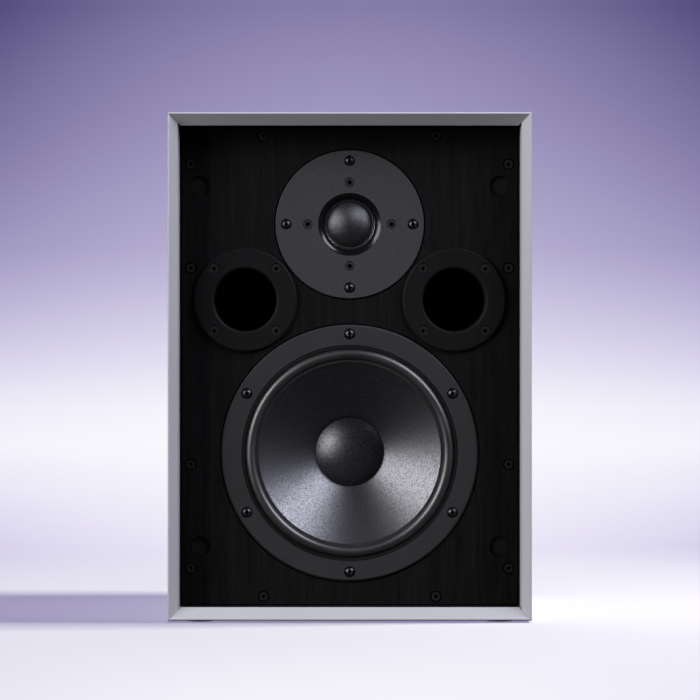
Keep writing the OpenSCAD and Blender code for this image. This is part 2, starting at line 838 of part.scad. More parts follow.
module tweeter_rear_chamber() {
    back_h = tweeter_pole_back_h - chamber_d;
    round_r = 4;
    outer = tweeter_magnet_r;
    color(moulded) at_tweeter() rotate_extrude() polygon(concat(
        [[outer, tweeter_pole_back_h]],
        arc(outer - round_r, back_h + round_r, round_r, 0, -90, 6),
        [
            [0, back_h], [0, back_h + chamber_wall], [outer - round_r, back_h + chamber_wall],
            [outer - chamber_wall, back_h + round_r], [outer - chamber_wall, tweeter_pole_back_h]
        ]
    ));
}

module tweeter_mounting_screws() {
    color(black_steel) at_tweeter() round_at(4, tweeter_screw_at, 0, tweeter_top_h - head_pocket_d)
        button_screw(tweeter_button_r, driver_screw_r, driver_screw_len + tweeter_top_h - head_pocket_d);
}

module tweeter_motor_screws() {
    length = tweeter_plate_t + ring_t + tweeter_plate_steel - tweeter_screw_end;
    color(black_steel) at_tweeter() round_at(4, motor_screw_at, 0, tweeter_top_h)
        flat_screw(motor_head_r, motor_screw_r, motor_socket_r, length);
}

// Cast basket: flange, open bowl on legs, ledge for the spider and seat for the motor
module woofer_basket() {
    ledge_h = spider_h - spider_t / 2;
    step = basket_step;
    rim_in_r = basket_r - basket_t;
    window_top = rim_wall_h - step;
    window_low = ledge_h + window_sill;
    window_angle = 360 / leg_count - leg_angle;
    reach = 2 * basket_r;
    color(black_steel) at_woofer() difference() {
        rotate_extrude() polygon([
            [landing_r, landing_h],
            [woofer_open_r, landing_h],
            [woofer_open_r, woofer_top_h],
            [woofer_r - flange_chamfer, woofer_top_h],
            [woofer_r, woofer_top_h - flange_chamfer],
            [woofer_r, woofer_back_h],
            [basket_r, woofer_back_h],
            [basket_r, rim_wall_h],
            [carrier_r, ledge_h],
            [carrier_r, ledge_h - ledge_t],
            [seat_r, seat_h + seat_t + step],
            [seat_r, seat_h],
            [gap_r + step, seat_h],
            [gap_r + step, seat_h + seat_t],
            [seat_r - basket_t, seat_h + seat_t],
            [seat_r - basket_t, seat_h + seat_t + step],
            [ledge_r, ledge_h - ledge_t + step / 2],
            [ledge_r, ledge_h],
            [spider_r + spider_room, ledge_h],
            [rim_in_r, rim_wall_h + step / 2],
            [rim_in_r, landing_h - step],
            [landing_r, landing_h - step]
        ]);
        for (i = [0:leg_count - 1]) rotate([0, 0, (i + 0.5) * 360 / leg_count])
            translate([0, 0, window_low]) linear_extrude(window_top - window_low) polygon([
                [ledge_r * cos(window_angle / 2), -ledge_r * sin(window_angle / 2)],
                [reach * cos(window_angle / 2), -reach * sin(window_angle / 2)],
                [reach * cos(window_angle / 2), reach * sin(window_angle / 2)],
                [ledge_r * cos(window_angle / 2), ledge_r * sin(window_angle / 2)]
            ]);
        round_at(6, woofer_screw_at, 30, woofer_back_h - over)
            cylinder(r = driver_screw_r + screw_gap, h = woofer_flange_t + 2 * over);
        round_at(6, woofer_screw_at, 30, woofer_top_h - head_pocket_d)
            cylinder(r = woofer_pocket_r, h = head_pocket_d + over);
    }
}

// Foam ring between the woofer's flange and the baffle
module woofer_seal() {
    color(rubber_black) at_woofer() difference() {
        ring(woofer_r, basket_r + hole_gap, woofer_back_h - seal_t, woofer_back_h);
        round_at(6, woofer_screw_at, 30, woofer_back_h - seal_t - over)
            cylinder(r = driver_screw_r + screw_gap, h = seal_t + 2 * over);
    }
}

// Ring that clamps the surround's rim on its landing
module woofer_clamp_ring() {
    low = landing_h + surround_t;
    outer = woofer_open_r - clamp_gap;
    color(rubber_black) at_woofer() rotate_extrude() polygon([
        [landing_r, low], [outer, low], [outer, low + clamp_t],
        [landing_r + clamp_t / 2, low + clamp_t], [landing_r, low + clamp_t / 2]
    ]);
}

// Rubber half-roll with a flat rim at each side
module woofer_surround() {
    color(rubber_black) at_woofer() translate([0, 0, landing_h]) rotate_extrude() polygon(concat(
        [[roll_in_r - rim_flat, 0], [roll_in_r - rim_flat, surround_t]],
        arc(roll_mid_r, surround_t, roll_r, 180, 0, 20),
        [[woofer_open_r - glue_gap, surround_t], [woofer_open_r - glue_gap, 0], [roll_out_r - surround_t, 0]],
        arc(roll_mid_r, 0, roll_r - surround_t, 0, 180, 20)
    ));
}

// Curved cone with a flat rim under the surround and a short neck on the former
module woofer_cone() {
    front = [for (i = [0:cone_steps]) let (r = cone_r - (cone_r - former_r - glue_gap) * i / cone_steps)
        [r, cone_level(r)]];
    slope = cone_d / (cone_r - former_r);
    drop = cone_t * sqrt(1 + slope * slope);
    rear = [for (i = [0:cone_steps]) let (p = front[cone_steps - i]) [p[0], p[1] - drop]];
    color([0.35, 0.36, 0.4]) at_woofer() rotate_extrude() polygon(concat(front, rear));
}

module woofer_dust_cap() {
    color([0.2, 0.2, 0.22]) at_woofer() cap_shell(cap_r, cap_rise, cap_t, cone_level(cap_r) + glue_gap);
}

module woofer_former() {
    color("peru") at_woofer() ring(former_r, former_r - former_t, former_end_h, neck_h + former_rise);
}

module woofer_coil() {
    inner = former_r + glue_gap;
    color("chocolate") at_woofer() ring(inner + coil_t, inner, former_end_h, former_end_h + coil_len);
}

// Corrugated cloth disc that centres the coil
module woofer_spider() {
    flat_r = ledge_r - spider_flat;
    inner = former_r + glue_gap;
    first_r = inner + spider_flat;
    steps = spider_waves * 8;
    upper = [for (i = [0:steps]) let (t = i / steps) [
        first_r + (flat_r - first_r) * t,
        spider_h + spider_t / 2 + spider_wave_h * sin(360 * spider_waves * t)
    ]];
    lower = [for (i = [0:steps]) let (p = upper[steps - i]) [p[0], p[1] - spider_t]];
    color("goldenrod") at_woofer() rotate_extrude() polygon(concat(
        [[inner, spider_h - spider_t / 2], [inner, spider_h + spider_t / 2]],
        upper,
        [[spider_r, spider_h + spider_t / 2], [spider_r, spider_h - spider_t / 2]],
        lower
    ));
}

module woofer_top_plate() {
    color(steel) at_woofer() ring(steel_r, gap_r, magnet_top_h, seat_h);
}

module woofer_magnet() {
    color(ferrite) at_woofer() ring(woofer_magnet_r, magnet_in_r, magnet_back_h, magnet_top_h);
}

module woofer_pole_plate() {
    edge = steel_edge;
    flare = pole_vent_flare;
    color(steel) at_woofer() rotate_extrude() polygon([
        [pole_vent_r, pole_top_h], [pole_r, pole_top_h], [pole_r, magnet_back_h], [steel_r, magnet_back_h],
        [steel_r, pole_back_h + edge], [steel_r - edge, pole_back_h], [pole_vent_r + flare, pole_back_h],
        [pole_vent_r, pole_back_h + flare]
    ]);
}

// Terminal block on one leg of the basket, with two tags
module woofer_terminals() {
    ledge_h = spider_h - spider_t / 2;
    block = [6, 20, 3.4];
    tag = [9, 4.8, 0.8];
    foot = (ledge_t - block[2]) / 2;
    tag_h = ledge_h - ledge_t / 2 - tag[2] / 2;
    color(moulded) at_woofer() difference() {
        union() {
            translate([carrier_r - over, -block[1] / 2, ledge_h - ledge_t + foot]) cube(block);
            for (s = [-1, 1]) translate([carrier_r + over, s * block[1] / 4 - tag[1] / 2, tag_h]) cube(tag);
        }
        translate([0, 0, ledge_h - 2 * ledge_t]) cylinder(r = carrier_r + glue_gap, h = 3 * ledge_t);
    }
}

module woofer_screws() {
    seat = woofer_top_h - head_pocket_d;
    color(black_steel) at_woofer() round_at(6, woofer_screw_at, 30, seat)
        button_screw(button_r, driver_screw_r, driver_screw_len + seat);
}

// Holes through the amplifier plate for everything that passes it
module plate_holes() {
    module drill(x, up, r) {
        at_rear(x, up) translate([0, 0, -plate_t - over]) cylinder(r = r, h = plate_t + 2 * over);
    }
    for (x = [volume_x, treble_x, bass_x]) drill(x, control_up, pot_bush_r + screw_gap);
    drill(phono_x, line_up, phono_thread_r + screw_gap);
    drill(jack_x, line_up, jack_thread_r + screw_gap);
    for (p = [[inlet_x, inlet_body], [switch_x, switch_body]]) at_rear(p[0], mains_up)
        translate([0, 0, -plate_t - over]) linear_extrude(plate_t + 2 * over)
            square([p[1][0] + 2 * screw_gap, p[1][1] + 2 * screw_gap], center = true);
}

module amplifier_plate() {
    color(anodised) difference() {
        union() {
            at_rear(0, plate_up) translate([0, 0, -plate_t])
                linear_extrude(plate_t) rounded_rect(plate_w, plate_h, plate_corner_r);
            at_rear(0, board_up) each_at(stand_places, -plate_t - board_off)
                cylinder(r = stand_r, h = board_off);
        }
        plate_holes();
        at_rear(0, 0) each_at(plate_screw_places, -plate_t - over)
            cylinder(r = driver_screw_r + screw_gap, h = plate_t + 2 * over);
        at_rear(0, toroid_up) translate([0, 0, -plate_t - over])
            cylinder(r = toroid_bolt_r + screw_gap, h = plate_t + 2 * over);
    }
}

// Extruded heatsink: base and upright fins
module heatsink() {
    pitch = (sink_w - fin_t) / (fin_count - 1);
    bolt_room = toroid_bolt_r * 2 + over;
    color(anodised) at_rear(0, sink_up) difference() {
        translate([0, -sink_h / 2, 0]) rotate([-90, 0, 0]) linear_extrude(sink_h) union() {
            translate([-sink_w / 2, -sink_base_t]) square([sink_w, sink_base_t]);
            for (i = [0:fin_count - 1])
                translate([-sink_w / 2 + i * pitch, -sink_reach]) square([fin_t, sink_reach]);
        }
        translate([0, toroid_up - sink_up, -over]) cylinder(r = bolt_room, h = sink_reach + 2 * over);
    }
}

module amplifier_screws() {
    color(black_steel) at_rear(0, 0) each_at(plate_screw_places, 0)
        button_screw(button_r, driver_screw_r, driver_screw_len);
}

// Ring-core transformer on its side against the plate
module transformer() {
    edge = toroid_edge;
    low = -plate_t - toroid_h;
    high = -plate_t - glue_gap;
    color("darkgoldenrod") at_rear(0, toroid_up) rotate_extrude() polygon(concat(
        arc(toroid_r - edge, high - edge, edge, 90, 0, 6),
        arc(toroid_r - edge, low + edge, edge, 0, -90, 6),
        arc(toroid_in_r + edge, low + edge, edge, 270, 180, 6),
        arc(toroid_in_r + edge, high - edge, edge, 180, 90, 6)
    ));
}

// Bolt through the transformer, with its dished washer inside
module transformer_bolt() {
    washer_r = toroid_in_r + toroid_edge;
    low = -plate_t - toroid_h;
    head_t = toroid_head_t;
    color(steel) at_rear(0, toroid_up) rotate_extrude() polygon([
        [0, head_t], [toroid_bolt_r * 2, head_t], [toroid_bolt_r * 2, 0], [toroid_bolt_r, 0],
        [toroid_bolt_r, low], [washer_r, low], [washer_r, low - toroid_washer_t], [0, low - toroid_washer_t]
    ]);
}

module circuit_board() {
    color("darkgreen") at_rear(0, board_up) translate([0, 0, -plate_t - board_off - board_t])
        linear_extrude(board_t) square([board_w, board_h], center = true);
}

module capacitors() {
    low = -plate_t - board_off - board_t - capacitor_h;
    color(black_steel) at_rear(0, board_up) for (x = capacitor_places)
        translate([x, 0, low]) cylinder(r = capacitor_r, h = capacitor_h);
}

// Two power chips at each side of the transformer, behind the heatsink
module power_transistors() {
    out = toroid_r + chip_gap + chip_size[0] / 2;
    up = (chip_size[1] + chip_gap) / 2;
    color(black_steel) at_rear(0, toroid_up) for (sx = [-1, 1], sz = [-1, 1])
        translate([sx * out, sz * up, -plate_t - chip_size[2] / 2]) cube(chip_size, center = true);
}

// Mains inlet: flanged housing with a six-sided mouth
module mains_inlet() {
    corner = inlet_corner;
    mouth = [
        [-inlet_w / 2, -inlet_h / 2], [inlet_w / 2, -inlet_h / 2], [inlet_w / 2, inlet_h / 2 - corner],
        [inlet_w / 2 - corner, inlet_h / 2], [-inlet_w / 2 + corner, inlet_h / 2],
        [-inlet_w / 2, inlet_h / 2 - corner]
    ];
    color(moulded) at_rear(inlet_x, mains_up) difference() {
        union() {
            linear_extrude(inlet_flange[2]) rounded_rect(inlet_flange[0], inlet_flange[1], 2);
            translate([0, 0, -inlet_depth]) linear_extrude(inlet_depth) square(inlet_body, center = true);
        }
        translate([0, 0, inlet_flange[2] - inlet_depth]) linear_extrude(inlet_depth + over) polygon(mouth);
        each_at(pin_places, -inlet_depth - over) linear_extrude(inlet_depth) square(pin_hole, center = true);
    }
}

module inlet_pins() {
    color(steel) at_rear(inlet_x, mains_up) each_at(pin_places, -inlet_depth - pin_tail)
        linear_extrude(inlet_depth + pin_tail - pin_recess) square(pin_size, center = true);
}

module switch_housing() {
    color(moulded) at_rear(switch_x, mains_up) difference() {
        union() {
            linear_extrude(switch_flange[2]) rounded_rect(switch_flange[0], switch_flange[1], 1.5);
            translate([0, 0, -switch_depth]) linear_extrude(switch_depth) square(switch_body, center = true);
        }
        translate([0, 0, -switch_depth / 2]) linear_extrude(switch_depth)
            square([rocker_w + rocker_room, rocker_l + rocker_room], center = true);
        rotate([0, 90, 0]) cylinder(r = rocker_pin_r + shaft_gap, h = switch_body[0] + over, center = true);
    }
}

// Rocker at rest with its lower half pressed, on two stub pins
module power_rocker() {
    body_r = rocker_l / 2;
    color(black_steel) at_rear(switch_x, mains_up) rotate([-rocker_throw / 2, 0, 0]) {
        difference() {
            rotate([0, 90, 0]) cylinder(r = body_r - rocker_room, h = rocker_w, center = true);
            translate([0, 0, rocker_dish_r + switch_flange[2]]) rotate([0, 90, 0])
                cylinder(r = rocker_dish_r, h = rocker_w + over, center = true);
            translate([0, 0, -body_r * 2]) cube([rocker_w + over, rocker_l * 2, body_r * 3], center = true);
        }
        rotate([0, 90, 0]) cylinder(r = rocker_pin_r, h = switch_body[0] - rocker_room, center = true);
    }
}

module jack_socket() {
    body_h = -plate_t - jack_body[2];
    color(moulded) at_rear(jack_x, line_up) difference() {
        union() {
            translate([0, 0, -plate_t]) cylinder(r = jack_thread_r, h = plate_t + jack_barrel_len);
            translate([-jack_body[0] / 2, -jack_body[1] / 2, body_h]) cube(jack_body);
        }
        translate([0, 0, body_h + socket_floor]) cylinder(r = jack_r, h = jack_barrel_len - body_h);
    }
}

module phono_socket() {
    barrel_top = phono_flange_t + phono_barrel_len;
    body_t = plate_t + phono_body_len;
    color("gold") at_rear(phono_x, line_up) difference() {
        union() {
            translate([0, 0, -body_t]) cylinder(r = phono_thread_r, h = body_t);
            cylinder(r = phono_flange_r, h = phono_flange_t);
            cylinder(r = phono_barrel_r, h = barrel_top);
        }
        translate([0, 0, -plate_t]) cylinder(r = phono_bore_r, h = plate_t + barrel_top + over);
    }
}

// Nuts: outside on the jack, inside on the phono socket
module socket_nuts() {
    color(steel) {
        at_rear(jack_x, line_up) difference() {
            cylinder(r = jack_nut_r, h = nut_t, $fn = 6);
            translate([0, 0, -over]) cylinder(r = jack_thread_r + glue_gap, h = nut_t + 2 * over);
        }
        at_rear(phono_x, line_up) translate([0, 0, -plate_t - nut_t]) difference() {
            cylinder(r = phono_nut_r, h = nut_t, $fn = 6);
            translate([0, 0, -over]) cylinder(r = phono_thread_r + glue_gap, h = nut_t + 2 * over);
        }
    }
}

// Fluted knob, hollow under its skirt, with its shaft and a pointer groove
module knob(radius) {
    flute_r = radius * knob_flute;
    crown_r = radius * knob_taper;
    edge = 1;
    hollow = 3;
    groove = [1.2, radius / 2, 0.6];
    shaft_end = -plate_t - pot_body_t / 2;
    difference() {
        translate([0, 0, knob_foot_gap]) rotate_extrude() polygon([
            [0, hollow], [crown_r - edge, hollow], [crown_r - edge, 0], [radius - edge / 2, 0],
            [radius, edge / 2], [crown_r, knob_h - edge], [crown_r - edge, knob_h], [0, knob_h]
        ]);
        for (i = [0:knob_flutes - 1]) rotate([0, 0, i * 360 / knob_flutes])
            translate([radius, 0, knob_foot_gap + edge * 2]) cylinder(r = flute_r, h = knob_h, $fn = 16);
        translate([-groove[0] / 2, crown_r - groove[1], knob_foot_gap + knob_h - groove[2]])
            cube([groove[0], groove[1] + edge, groove[2] + over]);
    }
    translate([0, 0, shaft_end]) cylinder(r = pot_shaft_r, h = knob_foot_gap + hollow - shaft_end);
}

module volume_knob() {
    color(moulded) at_rear(volume_x, control_up) knob(volume_knob_r);
}

module treble_knob() {
    color(moulded) at_rear(treble_x, control_up) knob(tone_knob_r);
}

module bass_knob() {
    color(moulded) at_rear(bass_x, control_up) knob(tone_knob_r);
}

// The three control bodies behind the plate, with their threaded bushes
module potentiometers() {
    bore_low = -plate_t - pot_body_t / 2 - shaft_gap;
    color(steel) for (x = [volume_x, treble_x, bass_x]) at_rear(x, control_up) difference() {
        union() {
            translate([0, 0, -plate_t - pot_body_t]) cylinder(r = pot_body_r, h = pot_body_t);
            translate([0, 0, -plate_t]) cylinder(r = pot_bush_r, h = plate_t + pot_bush_up);
        }
        translate([0, 0, bore_low]) cylinder(r = pot_shaft_r + shaft_gap, h = pot_bush_up + over - bore_low);
    }
}

left_side_panel();
right_side_panel();
top_panel();
bottom_panel();
rear_panel();
front_baffle();
baffle_seal();
baffle_screws();
grille_magnets();
rubber_feet();
left_port();
right_port();
port_screws();
tweeter_faceplate();
tweeter_dome();
tweeter_surround();
tweeter_voice_coil();
tweeter_dome_ring();
tweeter_top_plate();
tweeter_magnet();
tweeter_pole_plate();
tweeter_rear_chamber();
tweeter_mounting_screws();
tweeter_motor_screws();
woofer_basket();
woofer_seal();
woofer_clamp_ring();
woofer_surround();
woofer_cone();
woofer_dust_cap();
woofer_former();
woofer_coil();
woofer_spider();
woofer_top_plate();
woofer_magnet();
woofer_pole_plate();
woofer_terminals();
woofer_screws();
amplifier_plate();
heatsink();
amplifier_screws();
transformer();
transformer_bolt();
circuit_board();
capacitors();
power_transistors();
mains_inlet();
inlet_pins();
switch_housing();
power_rocker();
jack_socket();
phono_socket();
socket_nuts();
volume_knob();
treble_knob();
bass_knob();
potentiometers();
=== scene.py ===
"""Finishes and fine surfaces of a two-way active speaker, laid over its packed construction.

Metres, +Z up, the front faces -Y. Round pieces are profiles turned about an axis that points at the
listener: a profile point (r, h) lies r from the axis and h in front of the baffle's face.
"""
import json

import bmesh
import bpy
import numpy as np
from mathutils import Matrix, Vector


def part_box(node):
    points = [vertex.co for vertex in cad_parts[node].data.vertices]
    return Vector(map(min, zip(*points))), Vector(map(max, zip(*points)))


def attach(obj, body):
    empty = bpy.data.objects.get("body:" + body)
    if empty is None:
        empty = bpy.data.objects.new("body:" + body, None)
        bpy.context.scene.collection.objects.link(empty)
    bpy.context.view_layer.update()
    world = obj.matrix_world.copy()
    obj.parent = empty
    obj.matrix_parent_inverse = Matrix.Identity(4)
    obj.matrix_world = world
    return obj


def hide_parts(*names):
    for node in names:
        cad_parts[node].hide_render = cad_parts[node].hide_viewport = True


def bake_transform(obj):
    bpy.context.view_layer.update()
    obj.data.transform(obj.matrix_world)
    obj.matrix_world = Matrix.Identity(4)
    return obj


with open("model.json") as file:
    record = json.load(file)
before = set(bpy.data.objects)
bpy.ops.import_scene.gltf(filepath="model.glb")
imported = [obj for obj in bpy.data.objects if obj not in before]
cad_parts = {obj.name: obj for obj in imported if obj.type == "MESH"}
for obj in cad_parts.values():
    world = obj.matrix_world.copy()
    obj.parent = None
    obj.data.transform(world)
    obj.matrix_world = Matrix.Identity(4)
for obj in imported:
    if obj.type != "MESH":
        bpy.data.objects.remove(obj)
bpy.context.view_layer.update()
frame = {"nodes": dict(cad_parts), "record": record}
MM = 0.001
TURN = 2 * np.pi


# Places that the construction gives

def middle(node):
    """Middle of a node in x and z."""
    low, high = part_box(node)
    return (low.x + high.x) / 2, (low.z + high.z) / 2


FACE_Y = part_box("front_baffle")[0].y
FRONT_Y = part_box("left_side_panel")[0].y
WOOFER = middle("woofer_basket")
TWEETER = middle("tweeter_faceplate")

# Cabinet: the lacquered bevel's depth, the room round the baffle, and the radius of the edges
BEVEL_DEPTH = 8.6 * MM
BAFFLE_ROOM = 1.2 * MM
PANEL_EDGE = 0.35 * MM

# Woofer: the surround's roll between two flat rims, the cone and the dust cap
ROLL_OUTER = 73.6 * MM
ROLL_INNER = 66.2 * MM
ROLL_RIM = 64.4 * MM
ROLL_WALL = 0.8 * MM
CONE_NECK = 19.55 * MM
CONE_DROP = 28 * MM
CONE_WALL = 1.05 * MM
CAP_RISE = 8.5 * MM
CAP_WALL = 0.8 * MM

# Tweeter: the faceplate's flared mouth, the dome with its small surround and its weave, and the clamp
# ring with its bead
THROAT_R = 18.0 * MM
MOUTH_R = 22.4 * MM
FLARE_HALF_BEND = np.radians(24)
DOME_ROLL_OUTER = 17.4 * MM
DOME_ROLL_INNER = 16.25 * MM
DOME_WALL = 0.4 * MM
DOME_RISE = 6.8 * MM
DOME_SOLID_RISE = 5.6 * MM
BEAD_INNER = 17.45 * MM
BEAD_OUTER = 17.97 * MM
WEAVE_SCALE = 908.63
RING_STEP_R = 24 * MM
RING_SEAT = 0.65 * MM

# Screws
SOCKET_DEPTH = 1.2 * MM
SOCKET_CHAMFER = 0.07 * MM
DRILL_POINT = 0.5 * MM
BUTTON_RISE = 1.8 * MM
BUTTON_SOCKET = 1.35 * MM
BUTTON_RIM = 0.14 * MM
FLAT_RISE = 0.1 * MM
FLAT_RIM = 0.4 * MM
SHANK_R = 1.9 * MM
MOTOR_SHANK_R = 1.5 * MM

# Camera: far away and level, as in the photograph
CAMERA_DISTANCE = 2.7
CAMERA_HEIGHT = 0.191
CAMERA_X = 0.0002
PIXEL = 0.7 * MM
FRAME_PIXELS = 700
SENSOR = 36.0

# Studio: the share of the paper's brightness that reflections show, the near paper's painted glow,
# which sets how light and how violet the speaker's shadow stays, and the strength of the surroundings as
# light, as reflection and as seen directly
GLOSSY_SHARE = 0.05
NEAR_GLOW = (0.275, 0.24, 0.42)
ROOM_LIGHT = 0.03
ROOM_REFLECTION = 0.055
ROOM_SEEN = 0.6

# Paper: its glow is painted light. Stops of its fade up and down, as rows of the picture and levels from
# 0 to 255, with a dip where the floor lies in shade, how much the level falls towards the sides, as the
# studio's light falls off, and the factor and power that tint red, green and blue
PAPER_ROWS = [0, 50, 250, 400, 450, 550, 650]
PAPER_LEVELS = [130, 145, 185, 245, 250, 235, 250]
FALL_ROWS = [0, 440, 560, 600]
SIDE_FALL = [48, 5, 23, 13]
TINT_FACTOR = (1, 1.03, 0.85)
TINT_POWER = (1, 0.95, 1.25)


# Surfaces: edges of the construction over this angle, in degrees, stay sharp or are rounded
SHARP_ANGLE = 32


def grid_piece(name, points, material, closed_rows=False, closed_columns=True, smooth_angle=40,
               row_finish=None):
    """A mesh over a grid of points of shape (copies, rows, columns, 3): each cell between two
    rows and two columns becomes one face. Doubled points at poles are merged. Where row_finish
    is given, it says for each row of faces which of the materials it takes."""
    points = np.asarray(points, float)
    if points.ndim == 3:
        points = points[None]
    copies, rows, columns = points.shape[:3]
    index = np.arange(copies * rows * columns).reshape(copies, rows, columns)
    down = np.roll(index, -1, axis=1) if closed_rows else index[:, 1:]
    here = index if closed_rows else index[:, :-1]
    if not closed_columns:
        quads = np.stack([here[..., :-1], here[..., 1:], down[..., 1:], down[..., :-1]], axis=-1)
    else:
        quads = np.stack([here, np.roll(here, -1, axis=2), np.roll(down, -1, axis=2), down], axis=-1)
    mesh = bpy.data.meshes.new(name)
    mesh.from_pydata(points.reshape(-1, 3), [], quads.reshape(-1, 4).tolist())
    if row_finish is not None:
        finish = np.zeros(quads.shape[:3], np.int32) + np.asarray(row_finish, np.int32)[None, :, None]
        mesh.polygons.foreach_set("material_index", finish.ravel())
    cleaned(mesh)
    return placed(name, mesh, material, smooth_angle)


def cleaned(mesh, merge=1e-7):
    """Merges doubled points and turns all faces outwards."""
    work = bmesh.new()
    work.from_mesh(mesh)
    bmesh.ops.remove_doubles(work, verts=work.verts, dist=merge)
    bmesh.ops.recalc_face_normals(work, faces=work.faces)
    work.to_mesh(mesh)
    work.free()


def placed(name, mesh, material, smooth_angle=40):
    """Object for a mesh, with its material or materials, and edges sharper than the angle kept sharp."""
    mesh.shade_smooth()
    mesh.set_sharp_from_angle(angle=np.radians(smooth_angle))
    if mesh.materials:
        mesh.materials.clear()
    for finish in material if isinstance(material, (list, tuple)) else [material]:
        mesh.materials.append(finish)
    piece = bpy.data.objects.new(name, mesh)
    bpy.context.scene.collection.objects.link(piece)
    return piece


def turned(profile, centre, columns=192, start=0.0, sweep=TURN, whole=True):
    """Turns (r, h) points about the axis through centre: at angle a the point goes to
    (centre x + r cos a, face - h, centre z + r sin a)."""
    profile = np.asarray(profile, float)
    angle = start + np.linspace(0, sweep, columns, endpoint=not whole)
    r, h = profile[:, 0, None], profile[:, 1, None]
    x = centre[0] + r * np.cos(angle)
    z = centre[1] + r * np.sin(angle)
    y = FACE_Y - h + 0 * angle
    return np.stack([x, y, z], axis=-1)


def turned_piece(name, profile, centre, material, columns=192, smooth_angle=40):
    """A full turn of a closed profile as one piece."""
    return grid_piece(name, turned(profile, centre, columns), material, closed_rows=True,
                      smooth_angle=smooth_angle)


def softened(node, material, width):
    """Stands a merged copy of a node in its place: coplanar triangles become whole faces, the
    curved walls shade smooth, and edges over the angle get a small radius where width is given."""
    source = frame["nodes"][node]
    mesh = source.data.copy()
    if "custom_normal" in mesh.attributes:
        mesh.attributes.remove(mesh.attributes["custom_normal"])
    work = bmesh.new()
    work.from_mesh(mesh)
    bmesh.ops.remove_doubles(work, verts=work.verts, dist=2e-6)
    bmesh.ops.dissolve_limit(work, angle_limit=np.radians(0.4), verts=work.verts, edges=work.edges)
    work.to_mesh(mesh)
    work.free()
    piece = placed(node + "_finished", mesh, material, SHARP_ANGLE)
    if width:
        bevel = piece.modifiers.new("edge_radius", "BEVEL")
        bevel.width = width
        bevel.segments = 2
        bevel.limit_method = "ANGLE"
        bevel.angle_limit = np.radians(SHARP_ANGLE)
    even = piece.modifiers.new("flat_faces_stay_flat", "WEIGHTED_NORMAL")
    even.keep_sharp = True
    even.weight = 100
    body = next(b for b, members in frame["record"]["behaviour"]["bodies"].items() if node in members)
    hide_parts(node)
    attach(piece, body)
    return piece


# Materials

def blank(name, rough, metal=0.0, **sockets):
    """A new material, its node tree and its shader, with the constant values on the shader."""
    made = bpy.data.materials.new(name)
    made.use_nodes = True
    tree = made.node_tree
    shader = tree.nodes["Principled BSDF"]
    shader.inputs["Roughness"].default_value = rough
    shader.inputs["Metallic"].default_value = metal
    for socket, value in sockets.items():
        shader.inputs[socket.replace("_", " ")].default_value = value
    return made, tree, shader


def put(tree, target, value):
    """Sets a socket to a constant, or links another socket to it."""
    if isinstance(value, bpy.types.NodeSocket):
        tree.links.new(value, target)
    else:
        target.default_value = value


def spot(tree, stretch=(1, 1, 1), centre=(0, 0, 0)):
    """Object coordinates about a centre, stretched by a factor along each axis."""
    coordinates = tree.nodes.new("ShaderNodeTexCoord")
    mapping = tree.nodes.new("ShaderNodeMapping")
    tree.links.new(coordinates.outputs["Object"], mapping.inputs["Vector"])
    mapping.inputs["Scale"].default_value = stretch
    mapping.inputs["Location"].default_value = [-c * s for c, s in zip(centre, stretch)]
    return mapping.outputs["Vector"]


def noise(tree, vector, scale, detail=3.0, rough=0.55):
    """Noise value from 0 to 1."""
    made = tree.nodes.new("ShaderNodeTexNoise")
    put(tree, made.inputs["Vector"], vector)
    made.inputs["Scale"].default_value = scale
    made.inputs["Detail"].default_value = detail
    made.inputs["Roughness"].default_value = rough
    return made.outputs["Fac"]


def ramp(tree, factor, stops):
    """Colour ramp; each stop is (place, colour)."""
    made = tree.nodes.new("ShaderNodeValToRGB")
    put(tree, made.inputs["Fac"], factor)
    elements = made.color_ramp.elements
    while len(elements) < len(stops):
        elements.new(0.5)
    for element, (place, colour) in zip(elements, stops):
        element.position = place
        element.color = (*colour, 1)
    return made.outputs["Color"]


def remap(tree, value, low, high, out_low, out_high):
    """Value carried from one range to another."""
    made = tree.nodes.new("ShaderNodeMapRange")
    put(tree, made.inputs["Value"], value)
    for socket, number in (("From Min", low), ("From Max", high), ("To Min", out_low), ("To Max", out_high)):
        made.inputs[socket].default_value = number
    return made.outputs["Result"]


def maths(tree, operation, first, second=0.0):
    """One Math node."""
    made = tree.nodes.new("ShaderNodeMath")
    made.operation = operation
    put(tree, made.inputs[0], first)
    put(tree, made.inputs[1], second)
    return made.outputs[0]


def bump(tree, shader, height, distance, strength=1.0):
    """Bump from a height of 0 to 1 that stands for a distance in metres."""
    made = tree.nodes.new("ShaderNodeBump")
    made.inputs["Strength"].default_value = strength
    made.inputs["Distance"].default_value = distance
    put(tree, made.inputs["Height"], height)
    put(tree, shader.inputs["Normal"], made.outputs["Normal"])


def grey(value, tint=(1.0, 1.0, 1.06)):
    """A grey with a slight cool tint."""
    return tuple(value * t for t in tint)


def inside_recess(tree):
    """1 on the cabinet's walls around the baffle, which are made nearly black, and 0 on the lacquer."""
    low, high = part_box("front_baffle")
    apart = tree.nodes.new("ShaderNodeSeparateXYZ")
    put(tree, apart.inputs[0], spot(tree, centre=((low.x + high.x) / 2, 0, (low.z + high.z) / 2)))
    half_width = (high.x - low.x) / 2 + BAFFLE_ROOM
    half_height = (high.z - low.z) / 2 + BAFFLE_ROOM
    wide = maths(tree, "LESS_THAN", maths(tree, "ABSOLUTE", apart.outputs["X"]), half_width)
    tall = maths(tree, "LESS_THAN", maths(tree, "ABSOLUTE", apart.outputs["Z"]), half_height)
    deep = maths(tree, "GREATER_THAN", apart.outputs["Y"], FRONT_Y + BEVEL_DEPTH)
    return maths(tree, "MULTIPLY", maths(tree, "MULTIPLY", wide, tall), deep)


